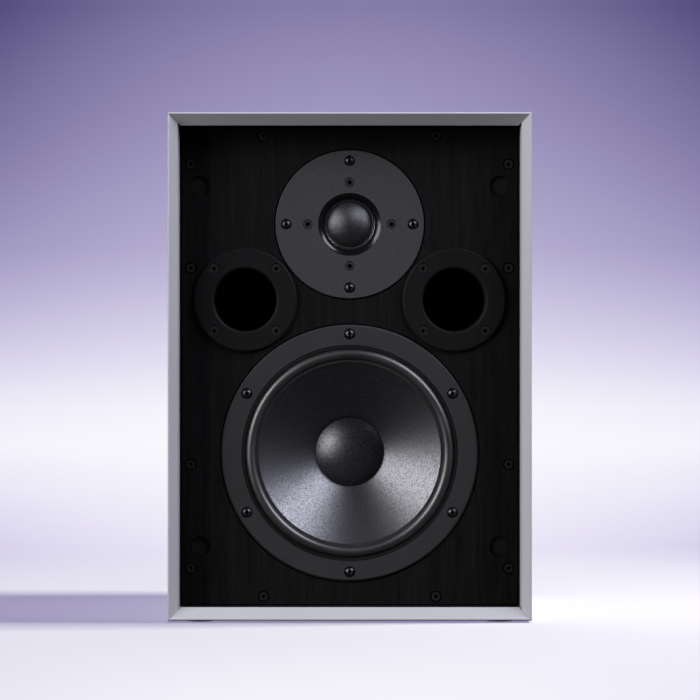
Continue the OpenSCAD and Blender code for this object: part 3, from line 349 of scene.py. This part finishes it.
def mixed(tree, factor, first, second):
    """Colour mixed from one to another by a factor."""
    made = tree.nodes.new("ShaderNodeMix")
    made.data_type = "RGBA"
    put(tree, made.inputs["Factor"], factor)
    for socket, colour in ((made.inputs[6], first), (made.inputs[7], second)):
        put(tree, socket, colour if isinstance(colour, bpy.types.NodeSocket) else (*colour, 1))
    return made.outputs[2]


def satin_lacquer():
    """Sprayed satin lacquer: faint cloudiness and a fine orange peel; black round the baffle."""
    made, tree, shader = blank("satin_lacquer", 0.4, IOR=1.48)
    cloud = noise(tree, spot(tree), 14, 4)
    sprayed = ramp(tree, cloud, [(0.3, grey(0.515, (1, 1, 1.04))), (0.7, grey(0.535, (1, 1, 1.04)))])
    put(tree, shader.inputs["Base Color"], mixed(tree, inside_recess(tree), sprayed, grey(0.006)))
    put(tree, shader.inputs["Roughness"], remap(tree, noise(tree, spot(tree), 60, 3), 0.3, 0.7, 0.39, 0.43))
    bump(tree, shader, noise(tree, spot(tree), 900, 2), 0.05 * MM, 0.35)
    return made


def black_grain():
    """Black-stained board: fine upright streaks, as brushed veneer has."""
    made, tree, shader = blank("black_grain", 0.6, IOR=1.4, Specular_IOR_Level=0.14)
    streak = noise(tree, spot(tree, (1, 1, 0.03)), 900, 5, 0.65)
    broad = noise(tree, spot(tree, (1, 1, 0.06)), 140, 4)
    both = maths(tree, "ADD", maths(tree, "MULTIPLY", streak, 0.6), maths(tree, "MULTIPLY", broad, 0.4))
    put(tree, shader.inputs["Base Color"], ramp(tree, both, [
        (0.36, grey(0.0025)), (0.5, grey(0.005)), (0.66, grey(0.009))]))
    put(tree, shader.inputs["Roughness"], remap(tree, both, 0.35, 0.65, 0.52, 0.7))
    bump(tree, shader, both, 0.09 * MM, 0.5)
    return made


def textured_plastic(name, shade, rough=0.58, grain=2600, depth=0.03, level=0.5):
    """Moulded plastic with a spark-eroded texture."""
    made, tree, shader = blank(name, rough, IOR=1.48, Specular_IOR_Level=level)
    patch = noise(tree, spot(tree), 30, 3)
    put(tree, shader.inputs["Base Color"], ramp(tree, patch, [
        (0.3, grey(shade * 0.88)), (0.7, grey(shade * 1.12))]))
    put(tree, shader.inputs["Roughness"], remap(tree, patch, 0.3, 0.7, rough - 0.04, rough + 0.04))
    bump(tree, shader, noise(tree, spot(tree), grain, 2), depth * MM, 0.6)
    return made


def powder_coat(name, shade, rough=0.5, grain=1500, depth=0.05, metal=0.0, level=0.35):
    """Powder coat or bead-blasted metal: a fine grain in both colour and height."""
    made, tree, shader = blank(name, rough, metal, Specular_IOR_Level=level)
    grains = noise(tree, spot(tree), grain, 2, 0.6)
    put(tree, shader.inputs["Base Color"], ramp(tree, grains, [
        (0.35, grey(shade * 0.85)), (0.65, grey(shade * 1.15))]))
    patch = noise(tree, spot(tree), 40, 3)
    put(tree, shader.inputs["Roughness"], remap(tree, patch, 0.3, 0.7, rough - 0.05, rough + 0.05))
    bump(tree, shader, grains, depth * MM, 0.5)
    return made


def faceplate_finish():
    """Blasted faceplate with a fine grain; its flared mouth is turned smooth and polished."""
    made, tree, shader = blank("faceplate_finish", 0.55, 0.0, Specular_IOR_Level=0.35)
    apart = tree.nodes.new("ShaderNodeVectorMath")
    apart.operation = "LENGTH"
    put(tree, apart.inputs[0], spot(tree, (1, 0, 1), (TWEETER[0], 0, TWEETER[1])))
    flare = maths(tree, "LESS_THAN", apart.outputs["Value"], MOUTH_R - 0.1 * MM)
    grains = noise(tree, spot(tree), 900, 3, 0.7)
    blasted = ramp(tree, grains, [(0.35, grey(0.033)), (0.65, grey(0.047))])
    put(tree, shader.inputs["Base Color"], mixed(tree, flare, blasted, grey(0.004)))
    put(tree, shader.inputs["Roughness"], remap(tree, flare, 0, 1, 0.6, 0.2))
    bump(tree, shader, maths(tree, "MULTIPLY", grains, maths(tree, "SUBTRACT", 1.0, flare)), 0.05 * MM, 0.5)
    return made


def black_rubber(name, rough, ior):
    """Butyl rubber: almost black, with a soft gloss and faint moulding marks."""
    made, tree, shader = blank(name, rough, IOR=ior)
    patch = noise(tree, spot(tree), 45, 4)
    put(tree, shader.inputs["Base Color"], ramp(tree, patch, [(0.3, grey(0.003)), (0.7, grey(0.006))]))
    put(tree, shader.inputs["Roughness"], remap(tree, patch, 0.3, 0.7, rough - 0.03, rough + 0.06))
    bump(tree, shader, noise(tree, spot(tree), 700, 2), 0.02 * MM, 0.4)
    return made


def cone_coating():
    """Coated cone: a dark skin with a metallic gloss that spreads along the circles, broken by a fine
    speckle in its brightness, its roughness and its height."""
    made, tree, shader = blank("cone_coating", 0.38, 0.95, Anisotropic=0.3)
    speck = noise(tree, spot(tree), 880, 3, 0.75)
    put(tree, shader.inputs["Base Color"], ramp(tree, speck, [(0.36, grey(0.06)), (0.64, grey(0.14))]))
    put(tree, shader.inputs["Roughness"], remap(tree, speck, 0.35, 0.65, 0.42, 0.32))
    tangent = tree.nodes.new("ShaderNodeTangent")
    tangent.direction_type = "RADIAL"
    tangent.axis = "Y"
    put(tree, shader.inputs["Tangent"], tangent.outputs["Tangent"])
    bump(tree, shader, speck, 0.12 * MM, 0.5)
    return made


def cap_coating():
    """Dust cap: the cone's skin with a brighter and harder speckle."""
    made, tree, shader = blank("cap_coating", 0.36, 0.85)
    speck = noise(tree, spot(tree), 880, 3, 0.8)
    put(tree, shader.inputs["Base Color"], ramp(tree, speck, [(0.38, grey(0.06)), (0.62, grey(0.17))]))
    put(tree, shader.inputs["Roughness"], remap(tree, speck, 0.3, 0.7, 0.42, 0.3))
    bump(tree, shader, speck, 0.25 * MM, 0.7)
    return made


def dome_fabric():
    """Coated woven dome: the threads of the weave show as a fine grid under the coating."""
    made, tree, shader = blank("dome_fabric", 0.34, 0.8)
    wide = tree.nodes.new("ShaderNodeTexWave")
    wide.bands_direction = "X"
    high = tree.nodes.new("ShaderNodeTexWave")
    high.bands_direction = "Z"
    for wave in (wide, high):
        put(tree, wave.inputs["Vector"], spot(tree))
        wave.inputs["Scale"].default_value = WEAVE_SCALE
        wave.inputs["Distortion"].default_value = 0.5
        wave.inputs["Detail"].default_value = 2
        wave.inputs["Detail Scale"].default_value = 1.5
    weave = maths(tree, "MULTIPLY", wide.outputs["Fac"], high.outputs["Fac"])
    speck = noise(tree, spot(tree), 880, 3, 0.75)
    both = maths(tree, "ADD", maths(tree, "MULTIPLY", weave, 0.45), maths(tree, "MULTIPLY", speck, 0.55))
    put(tree, shader.inputs["Base Color"], ramp(tree, both, [(0.24, grey(0.02)), (0.5, grey(0.13))]))
    put(tree, shader.inputs["Roughness"], remap(tree, speck, 0.3, 0.7, 0.42, 0.3))
    bump(tree, shader, both, 0.14 * MM, 0.6)
    return made


def bare_metal(name, colour, rough=0.3, streak=(1, 1, 1), grain=500):
    """Bare or plated metal with fine machining marks."""
    made, tree, shader = blank(name, rough, 1.0)
    mark = noise(tree, spot(tree, streak), grain, 4, 0.6)
    put(tree, shader.inputs["Base Color"], ramp(tree, mark, [
        (0.3, tuple(c * 0.88 for c in colour)), (0.7, colour)]))
    put(tree, shader.inputs["Roughness"], remap(tree, mark, 0.3, 0.7, rough - 0.06, rough + 0.08))
    bump(tree, shader, mark, 0.02 * MM, 0.4)
    return made


def plain(name, colour, rough=0.5, metal=0.0, grain=400):
    """Simple finish for inner pieces: one colour with a slight mottle and grain."""
    made, tree, shader = blank(name, rough, metal)
    mottle = noise(tree, spot(tree), grain, 3)
    put(tree, shader.inputs["Base Color"], ramp(tree, mottle, [
        (0.3, tuple(c * 0.85 for c in colour)), (0.7, tuple(min(1, c * 1.1) for c in colour))]))
    bump(tree, shader, mottle, 0.03 * MM, 0.4)
    return made


LACQUER = satin_lacquer()
GRAIN = black_grain()
PORT_PLASTIC = textured_plastic("port_plastic", 0.0065, 0.58, level=0.13)
FACEPLATE = faceplate_finish()
FRAME_PAINT = powder_coat("frame_paint", 0.028, 0.52, 1700, 0.05)
RUBBER = black_rubber("roll_rubber", 0.42, 2.0)
CLAMP_RUBBER = black_rubber("clamp_rubber", 0.6, 1.35)
FOAM = textured_plastic("seal_foam", 0.012, 0.9, 900, 0.2)
CONE = cone_coating()
CAP = cap_coating()
DOME = dome_fabric()
BRIGHT = bare_metal("turned_ring", (0.26, 0.26, 0.27), 0.24)
BLACK_STEEL = bare_metal("blackened_steel", (0.055, 0.055, 0.06), 0.36)
DULL_STEEL = powder_coat("dull_black_screw", 0.008, 0.45, 1700, 0.02)
PLATE_SCREW = powder_coat("plate_screw_finish", 0.022, 0.5, 1700, 0.03)
# Near-black finish for screw sockets and countersunk rims: painted shade where shadow falls in them
PAINTED_SOCKET_SHADE = powder_coat("socket_floor", 0.002, 0.8, 1700, 0.02, level=0.05)
STEEL = bare_metal("plated_steel", (0.6, 0.6, 0.6), 0.3)
MAGNET = plain("ferrite", (0.06, 0.06, 0.065), 0.6)
SOCKET_CAP = textured_plastic("socket_cap", 0.004, 0.7, level=0.2)
BLACK_PLASTIC = textured_plastic("black_plastic", 0.018, 0.5)
PLATE_BLACK = powder_coat("black_plate", 0.028, 0.45, 1900, 0.03, 0.3)
SINK_BLACK = bare_metal("black_extrusion", (0.045, 0.045, 0.05), 0.42, (1, 1, 0.02), 1500)
COPPER = bare_metal("enamelled_copper", (0.7, 0.32, 0.16), 0.35, (1, 8, 1), 900)
CLOTH = plain("treated_cloth", (0.45, 0.28, 0.08), 0.85, 0, 1500)
FOIL = bare_metal("former_foil", (0.7, 0.7, 0.7), 0.35)
BOARD = plain("board_green", (0.02, 0.12, 0.05), 0.35, 0, 200)
TAPE = plain("winding_tape", (0.5, 0.3, 0.06), 0.45, 0, 900)
BRASS = bare_metal("plated_brass", (0.8, 0.6, 0.28), 0.25)

CAD_FINISH = {
    "left_side_panel": LACQUER, "right_side_panel": LACQUER, "top_panel": LACQUER, "bottom_panel": LACQUER,
    "rear_panel": GRAIN, "front_baffle": GRAIN, "baffle_seal": FOAM, "woofer_seal": FOAM,
    "rubber_feet": CLAMP_RUBBER, "grille_magnets": SOCKET_CAP,
    "left_port": PORT_PLASTIC, "right_port": PORT_PLASTIC,
    "tweeter_faceplate": FACEPLATE, "tweeter_rear_chamber": BLACK_PLASTIC,
    "woofer_basket": FRAME_PAINT, "woofer_clamp_ring": CLAMP_RUBBER, "woofer_terminals": BLACK_PLASTIC,
    "amplifier_plate": PLATE_BLACK, "heatsink": SINK_BLACK, "mains_inlet": BLACK_PLASTIC,
    "switch_housing": BLACK_PLASTIC, "power_rocker": BLACK_PLASTIC, "jack_socket": BLACK_PLASTIC,
    "phono_socket": BRASS, "socket_nuts": STEEL, "inlet_pins": BRASS,
    "volume_knob": BLACK_PLASTIC, "treble_knob": BLACK_PLASTIC, "bass_knob": BLACK_PLASTIC,
    "potentiometers": STEEL, "transformer": TAPE, "transformer_bolt": STEEL,
    "circuit_board": BOARD, "capacitors": BLACK_PLASTIC, "power_transistors": BLACK_PLASTIC,
    "tweeter_top_plate": STEEL, "tweeter_magnet": MAGNET, "tweeter_pole_plate": STEEL,
    "tweeter_voice_coil": COPPER, "woofer_former": FOIL, "woofer_coil": COPPER, "woofer_spider": CLOTH,
    "woofer_top_plate": STEEL, "woofer_magnet": MAGNET, "woofer_pole_plate": STEEL,
}


def dress_construction():
    """Every node that keeps its own shape gets a smooth-shaded copy in its finish. The lacquered
    panels also get a small radius along their edges."""
    for node, finish in CAD_FINISH.items():
        softened(node, finish, PANEL_EDGE if finish is LACQUER else 0)


def open_out_flare():
    """Gives the faceplate's mouth a nearly conical flare. A point of its quarter ellipse at share s of
    the turn moves to the arc whose slope angle is g = g0 - (g0 - g1) s, with g0 at the throat and g1 at
    the rim: r = throat + R (sin g0 - sin g), h = foot + R (cos g - cos g0). Both ends stay in place."""
    mesh = bpy.data.objects["tweeter_faceplate_finished"].data
    points = np.empty(len(mesh.vertices) * 3)
    mesh.vertices.foreach_get("co", points)
    points = points.reshape(-1, 3)
    x, z = points[:, 0] - TWEETER[0], points[:, 2] - TWEETER[1]
    r, h = np.hypot(x, z), FACE_Y - points[:, 1]
    near = 0.01 * MM
    back = h[r < THROAT_R + near].min()
    on_flare = (r < MOUTH_R - near) & (h > back + near)
    foot = h[on_flare].min()
    rise, width = h.max() - foot, MOUTH_R - THROAT_R
    share = np.arccos(np.clip((MOUTH_R - r[on_flare]) / width, 0, 1)) / (np.pi / 2)
    bend_r = np.hypot(rise, width) / (2 * np.sin(FLARE_HALF_BEND))
    g0 = np.arctan2(rise, width) + FLARE_HALF_BEND
    g = g0 - 2 * FLARE_HALF_BEND * share
    new_r = THROAT_R + bend_r * (np.sin(g0) - np.sin(g))
    points[on_flare, 0] = TWEETER[0] + x[on_flare] / r[on_flare] * new_r
    points[on_flare, 2] = TWEETER[1] + z[on_flare] / r[on_flare] * new_r
    points[on_flare, 1] = FACE_Y - (foot + bend_r * (np.cos(g) - np.cos(g0)))
    mesh.vertices.foreach_set("co", points.ravel())
    mesh.set_sharp_from_angle(angle=np.radians(18))
    mesh.update()


# Screws

def islands(mesh):
    """Box of each separate shell of a mesh. Each point takes the smallest number that reaches it
    along the edges, until nothing changes; points with one number make one shell."""
    points = np.empty(len(mesh.vertices) * 3)
    mesh.vertices.foreach_get("co", points)
    points = points.reshape(-1, 3)
    edges = np.empty(len(mesh.edges) * 2, np.int64)
    mesh.edges.foreach_get("vertices", edges)
    first, second = edges.reshape(-1, 2).T
    number = np.arange(len(points))
    while True:
        lowest = np.minimum(number[first], number[second])
        following = number.copy()
        np.minimum.at(following, first, lowest)
        np.minimum.at(following, second, lowest)
        if (following == number).all():
            break
        number = following
    shells = [points[number == n] for n in np.unique(number)]
    return np.array([[shell.min(axis=0), shell.max(axis=0)] for shell in shells])


def screw_places(node):
    """Box of each screw of a node."""
    mesh = frame["nodes"][node].data.copy()
    cleaned(mesh, 2e-6)
    boxes = islands(mesh)
    bpy.data.meshes.remove(mesh)
    return boxes


def make_screws(name, node, head_r, rise, rim, socket, shank_r, finish, flat=False, rear=False):
    """Socket screws in one piece: from the socket's floor a six-sided wall leads up to the head,
    whose face falls by the rise as a spherical cap, then the edge, the underside and the shank.
    The socket's floor and six-sided wall, and a countersunk head's rim, take a near-black finish
    that is painted shade, for the shadow down the socket and in the head's gap.
    Six-sided rows lie at socket / cos(angle to the nearest flat's middle) from the axis."""
    boxes = screw_places(node)
    centre = (boxes[:, 0] + boxes[:, 1]) / 2
    top = boxes[:, 1, 1] if rear else -boxes[:, 0, 1]
    length = (boxes[:, 1, 1] - boxes[:, 0, 1]).min()
    ball = (head_r ** 2 + rise ** 2) / (2 * rise)
    face_r = np.linspace(socket * 1.1, head_r - rim, 7)
    face = -(ball - np.sqrt(ball ** 2 - face_r ** 2))
    face -= face[0]
    edge = face[-1] - rim
    under = edge - 0.1 * MM
    cone = head_r - shank_r if flat else 0
    body_r = [head_r, head_r, shank_r, shank_r, 0]
    radii = np.concatenate([[0, socket * 0.55, socket, socket], face_r, body_r])
    floor = [-SOCKET_DEPTH - DRILL_POINT, -SOCKET_DEPTH - DRILL_POINT / 2, -SOCKET_DEPTH, -SOCKET_CHAMFER]
    level = np.concatenate([floor, face, [edge, under, under - cone, -length, -length]])
    six = np.zeros(len(radii))
    six[2:4] = 1
    angle = np.linspace(0, TURN, 36, endpoint=False)
    to_flat = np.mod(angle, TURN / 6) - TURN / 12
    reach = radii[:, None] * (1 + six[:, None] * (1 / np.cos(to_flat) - 1))
    x = centre[:, 0, None, None] + reach * np.cos(angle)
    z = centre[:, 2, None, None] + reach * np.sin(angle)
    out = top[:, None, None] + level[:, None] + 0 * reach
    y = out if rear else -out
    # Finish 1 is painted shade: on the socket's floor and wall, and on a countersunk head's rim
    rows = [1] * 3 + [0] * 7 + [int(flat)] + [0] * 4
    piece = grid_piece(name, np.stack([x, y, z], axis=-1), [finish, PAINTED_SOCKET_SHADE],
                       row_finish=rows, smooth_angle=30)
    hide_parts(node)
    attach(piece, "cabinet")


def make_all_screws():
    """Button heads on the drivers and the amplifier, countersunk heads elsewhere."""
    for name, node, head_r, rear in (("woofer_button_screws", "woofer_screws", 3.5 * MM, False),
                                     ("tweeter_button_screws", "tweeter_mounting_screws", 3.3 * MM, False),
                                     ("amplifier_button_screws", "amplifier_screws", 3.5 * MM, True)):
        make_screws(name, node, head_r, BUTTON_RISE, BUTTON_RIM, BUTTON_SOCKET, SHANK_R, BLACK_STEEL,
                    rear=rear)
    for name, node, head_r, socket, shank_r, finish in (
            ("tweeter_flat_screws", "tweeter_motor_screws", 3.4 * MM, 1.55 * MM, MOTOR_SHANK_R, PLATE_SCREW),
            ("port_flat_screws", "port_screws", 3.9 * MM, 1.3 * MM, SHANK_R, DULL_STEEL),
            ("baffle_flat_screws", "baffle_screws", 3.5 * MM, 1.35 * MM, SHANK_R, DULL_STEEL)):
        make_screws(name, node, head_r, FLAT_RISE, FLAT_RIM, socket, shank_r, finish, flat=True)


# Moving parts of the drivers

def flexing_roll(name, node, profile, centre, material, sectors, columns):
    """A surround in equal sectors, each a piece of its own; neighbours share their edge, so the roll is
    whole."""
    half = TURN / sectors / 2
    for i in range(sectors):
        angle = (i + 0.5) * TURN / sectors
        points = turned(profile, centre, columns, angle - half, 2 * half, whole=False)
        piece = grid_piece(f"{name}_{i + 1}", points, material, closed_rows=True, closed_columns=False,
                           smooth_angle=60)
        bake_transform(piece)
        if i == 0:
            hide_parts(node)


def half_roll(outer, inner, base, thickness, rim_out, rim_in, steps=28):
    """Section of a surround: flat rim, half circle towards the listener, flat rim, and back inside."""
    mid, size = (outer + inner) / 2, (outer - inner) / 2
    a = np.linspace(np.pi, 0, steps)
    top = np.stack([mid + size * np.cos(a), base + thickness + size * np.sin(a)], axis=1)
    inside = size - thickness
    low = np.stack([mid + inside * np.cos(a[::-1]), base + inside * np.sin(a[::-1])], axis=1)
    start = [[rim_in, base], [rim_in, base + thickness]]
    end = [[rim_out, base + thickness], [rim_out, base]]
    return np.concatenate([start, top, end, low])


def make_surround():
    """The woofer's surround."""
    low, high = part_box("woofer_surround")
    profile = half_roll(ROLL_OUTER, ROLL_INNER, FACE_Y - high.y, ROLL_WALL, (high.x - low.x) / 2, ROLL_RIM)
    flexing_roll("surround_sector", "woofer_surround", profile, WOOFER, RUBBER,
                 24, 11)


def make_tweeter_surround():
    """The dome's small surround, which has no flat rim at its inner edge."""
    low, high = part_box("tweeter_surround")
    base = FACE_Y - high.y
    profile = half_roll(DOME_ROLL_OUTER, DOME_ROLL_INNER, base, DOME_WALL, (high.x - low.x) / 2,
                        DOME_ROLL_INNER, 12)
    profile[:, 1] = np.clip(profile[:, 1], base, None)
    flexing_roll("dome_surround_sector", "tweeter_surround", profile, TWEETER, RUBBER,
                 12, 13)


def make_cone():
    """Cone: level falls evenly from the rim to the neck."""
    low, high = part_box("woofer_cone")
    rim = (high.x - low.x) / 2
    share = np.linspace(0, 1, 40)
    r = rim + (CONE_NECK - rim) * share
    h = FACE_Y - low.y - CONE_DROP * share
    front = np.stack([r, h], axis=1)
    back = np.stack([r[::-1], h[::-1] - CONE_WALL], axis=1)
    section = np.concatenate([front, back])
    piece = turned_piece("cone_body", section, WOOFER, CONE, columns=256, smooth_angle=50)
    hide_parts("woofer_cone")
    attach(piece, "woofer_moving_assembly")


def cap_profile(base_r, rise, thickness, level):
    """Section of a spherical cap shell."""
    steps = 30
    ball = (base_r ** 2 + rise ** 2) / (2 * rise)
    outer = np.linspace(0, np.arcsin(base_r / ball), steps)
    inner = np.linspace(np.arcsin((base_r - thickness) / (ball - thickness)), 0, steps)
    top = level + rise - ball
    return np.concatenate([
        np.stack([ball * np.sin(outer), top + ball * np.cos(outer)], axis=1),
        np.stack([(ball - thickness) * np.sin(inner), top + (ball - thickness) * np.cos(inner)], axis=1)])


def make_dust_cap():
    """The dust cap on the cone's neck."""
    low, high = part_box("woofer_dust_cap")
    profile = cap_profile((high.x - low.x) / 2, CAP_RISE, CAP_WALL, FACE_Y - low.y - CAP_RISE)
    piece = turned_piece("dust_cap_shell", profile, WOOFER, CAP, columns=160, smooth_angle=60)
    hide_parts("woofer_dust_cap")
    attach(piece, "woofer_moving_assembly")
    return piece


def make_dome():
    """The tweeter's dome, a little higher than its solid, on the solid's foot."""
    low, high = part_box("tweeter_dome")
    foot = FACE_Y - low.y - DOME_SOLID_RISE
    profile = cap_profile((high.x - low.x) / 2, DOME_RISE, DOME_WALL, foot)
    piece = turned_piece("fabric_dome", profile, TWEETER, DOME, columns=128, smooth_angle=60)
    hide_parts("tweeter_dome")
    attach(piece, "tweeter_moving_assembly")


def make_dome_ring():
    """Clamp ring behind the faceplate, with a polished half-round bead around the dome's surround."""
    low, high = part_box("tweeter_dome_ring")
    front, back = FACE_Y - low.y, FACE_Y - high.y
    outer = (high.x - low.x) / 2
    seat = back + RING_SEAT
    bead = (BEAD_OUTER - BEAD_INNER) / 2
    a = np.linspace(0, np.pi, 9)
    crown = np.stack([BEAD_INNER + bead + bead * np.cos(a), front + 0.9 * bead * np.sin(a)], axis=1)
    body = [[BEAD_INNER, seat], [RING_STEP_R, seat], [RING_STEP_R, back], [outer, back]]
    profile = np.concatenate([[[outer, front]], crown, body])
    piece = turned_piece("dome_clamp_ring", profile, TWEETER, BRIGHT, smooth_angle=35)
    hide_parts("tweeter_dome_ring")
    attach(piece, "cabinet")


# Stage, light and camera

def seen_directly(tree):
    """1 for camera and transmission rays, a share for glossy rays, 0 for diffuse light."""
    path = tree.nodes.new("ShaderNodeLightPath")
    glossy = maths(tree, "MULTIPLY", path.outputs["Is Glossy Ray"], GLOSSY_SHARE)
    both = maths(tree, "MAXIMUM", path.outputs["Is Camera Ray"], glossy)
    return maths(tree, "MAXIMUM", both, path.outputs["Is Transmission Ray"])


def to_linear(value):
    """Display value from 0 to 255 as linear light: ((v / 255 + 0.055) / 1.055) to the power 2.4."""
    return ((np.asarray(value, float) / 255 + 0.055) / 1.055) ** 2.4


def painted_backdrop_light(points):
    """Painted light of the paper at each point, the colour of its glow. The level depends on the height
    in the picture (rows from 0 at the top to 700), dipping where the floor lies in shade, and falls with the
    square of the distance from its middle, as the studio's light falls off. Where the level lacks a share
    d of white, a channel lacks factor times d to the power, which runs from violet to near white."""
    depth = points[..., 1] - FRONT_Y + CAMERA_DISTANCE
    scale = CAMERA_DISTANCE / PIXEL / np.maximum(depth, 0.5)
    row = FRAME_PIXELS / 2 - (points[..., 2] - CAMERA_HEIGHT) * scale
    side = np.clip(points[..., 0] * scale / (FRAME_PIXELS / 2), -1.1, 1.1)
    level = np.interp(row, PAPER_ROWS, PAPER_LEVELS) - np.interp(row, FALL_ROWS, SIDE_FALL) * side ** 2
    lack = (1 - level[..., None] / 255) ** np.array(TINT_POWER)
    return to_linear(255 * (1 - lack * np.array(TINT_FACTOR)))


def backdrop_paper():
    """Paper that glows with its painted light far from the lamps and takes light and shadow near the
    speaker, where a weaker painted glow keeps the speaker's shadow light. Far behind it gives light back, so
    that the rear is lit as well."""
    made, tree, shader = blank("backdrop_paper", 0.85)
    shader.inputs["Specular IOR Level"].default_value = 0.05
    painted = tree.nodes.new("ShaderNodeAttribute")
    painted.attribute_name = "shade"
    away = tree.nodes.new("ShaderNodeVectorMath")
    away.operation = "LENGTH"
    put(tree, away.inputs[0], spot(tree))
    far = remap(tree, away.outputs["Value"], 0.28, 0.95, 0, 1)
    behind = remap(tree, away.outputs["Value"], 2.0, 3.0, 0, 1)
    seen = seen_directly(tree)
    near_paper = mixed(tree, seen, (0.02, 0.02, 0.02), (0.84, 0.87, 0.72))
    put(tree, shader.inputs["Base Color"], mixed(tree, far, near_paper, (0.01, 0.01, 0.01)))
    # Painted glow: NEAR_GLOW near the speaker, fading into the paper's painted light far away
    put(tree, shader.inputs["Emission Color"], mixed(tree, far, NEAR_GLOW, painted.outputs["Color"]))
    put(tree, shader.inputs["Emission Strength"], maths(tree, "MAXIMUM", seen, behind))
    return made


def make_stage():
    """A pale floor that runs back into a curved backdrop: flat, then a quarter circle, then upright."""
    front, reach, bend, height = -1.1, 2.6, 0.9, 4.5
    across = np.concatenate([[-6, -3], np.linspace(-1, 1, 41), [3, 6]])
    a = np.linspace(0, np.pi / 2, 30)
    flat = np.linspace(front, reach - 0.1, 60)
    run = np.concatenate([flat, reach + bend * np.sin(a), np.full(60, reach + bend)])
    rise = np.concatenate([np.zeros(60), bend - bend * np.cos(a), np.linspace(bend + 0.02, height, 60)])
    x, y = np.meshgrid(across, run)
    z = np.repeat(rise[:, None], across.size, axis=1)
    points = np.stack([x, y, z], axis=-1)
    sweep = grid_piece("floor_sweep", points, backdrop_paper(), closed_columns=False)
    places = np.empty(len(sweep.data.vertices) * 3)
    sweep.data.vertices.foreach_get("co", places)
    # Each point of the paper gets its painted light: a glow that fades with height and towards the sides
    colour = painted_backdrop_light(places.reshape(-1, 3))
    shade = sweep.data.color_attributes.new("shade", "FLOAT_COLOR", "POINT")
    shade.data.foreach_set("color", np.concatenate([colour, np.ones((len(colour), 1))], axis=1).ravel())
    return sweep


def soft_light(name, way, distance, size, power, colour):
    """A rectangular lamp at a distance from the middle of the front, facing it."""
    data = bpy.data.lights.new(name, "AREA")
    data.shape = "RECTANGLE"
    data.size, data.size_y = size
    data.energy = power
    data.color = colour
    lamp = bpy.data.objects.new(name, data)
    bpy.context.scene.collection.objects.link(lamp)
    target = Vector((0, FRONT_Y, 0.18))
    lamp.location = target + Vector(way).normalized() * distance
    lamp.rotation_euler = (target - lamp.location).to_track_quat("-Z", "Y").to_euler()
    return lamp


def linked_to(lamp, pieces, state):
    """Keeps a lamp's light off some pieces, as a flag in front of it does, or lets it fall on them only."""
    receivers = bpy.data.collections.new(lamp.name + "_receivers")
    for piece in pieces:
        receivers.objects.link(piece)
    lamp.light_linking.receiver_collection = receivers
    for link in receivers.collection_objects:
        link.light_linking.link_state = state


def make_lights(paper, cap):
    """Soft lamps: the front is lit from the left and the upper right, the rear from above, and the
    floor from the right, so that the speaker's shadow falls straight to the left. The upper lamp is
    kept off the dust cap."""
    left = soft_light("left_light", way=(-0.83, -0.53, 0.32), distance=2.2, size=(1.4, 1.3), power=44,
                      colour=(0.98, 0.97, 1.0))
    upper = soft_light("upper_light", way=(0.66, -0.375, 0.64), distance=1.8, size=(1.15, 0.95), power=33,
                       colour=(0.86, 0.87, 1.0))
    rear = soft_light("rear_light", way=(0.35, 0.62, 0.85), distance=2.2, size=(0.9, 0.9), power=22,
                      colour=(0.95, 0.95, 1.0))
    floor = soft_light("floor_light", way=(0.7, 0.06, 0.7), distance=3.2, size=(0.8, 0.8), power=99,
                       colour=(1.0, 0.99, 1.0))
    linked_to(left, [paper], "EXCLUDE")
    linked_to(upper, [paper, cap], "EXCLUDE")
    linked_to(rear, [paper], "EXCLUDE")
    linked_to(floor, [paper], "INCLUDE")
    world = bpy.data.worlds.new("studio")
    bpy.context.scene.world = world
    world.use_nodes = True
    tree = world.node_tree
    back = tree.nodes["Background"]
    back.inputs["Color"].default_value = (0.86, 0.84, 0.95, 1)
    path = tree.nodes.new("ShaderNodeLightPath")
    lit = remap(tree, path.outputs["Is Glossy Ray"], 0, 1, ROOM_LIGHT, ROOM_REFLECTION)
    in_view = maths(tree, "MULTIPLY", path.outputs["Is Camera Ray"], ROOM_SEEN)
    put(tree, back.inputs["Strength"], maths(tree, "MAXIMUM", lit, in_view))


def make_camera():
    """A level camera whose picture shows the front plane at PIXEL metres a pixel."""
    data = bpy.data.cameras.new("front_camera")
    data.sensor_width = SENSOR
    data.lens = CAMERA_DISTANCE / PIXEL * SENSOR / FRAME_PIXELS
    data.clip_end = 50
    camera = bpy.data.objects.new("front_camera", data)
    bpy.context.scene.collection.objects.link(camera)
    camera.location = (CAMERA_X, FRONT_Y - CAMERA_DISTANCE, CAMERA_HEIGHT)
    camera.rotation_euler = (np.pi / 2, 0, 0)
    bpy.context.scene.camera = camera


bpy.context.scene.view_settings.view_transform = "Standard"
make_camera()
dress_construction()
open_out_flare()
make_all_screws()
make_surround()
make_tweeter_surround()
make_cone()
make_dome()
make_dome_ring()
make_lights(make_stage(), make_dust_cap())
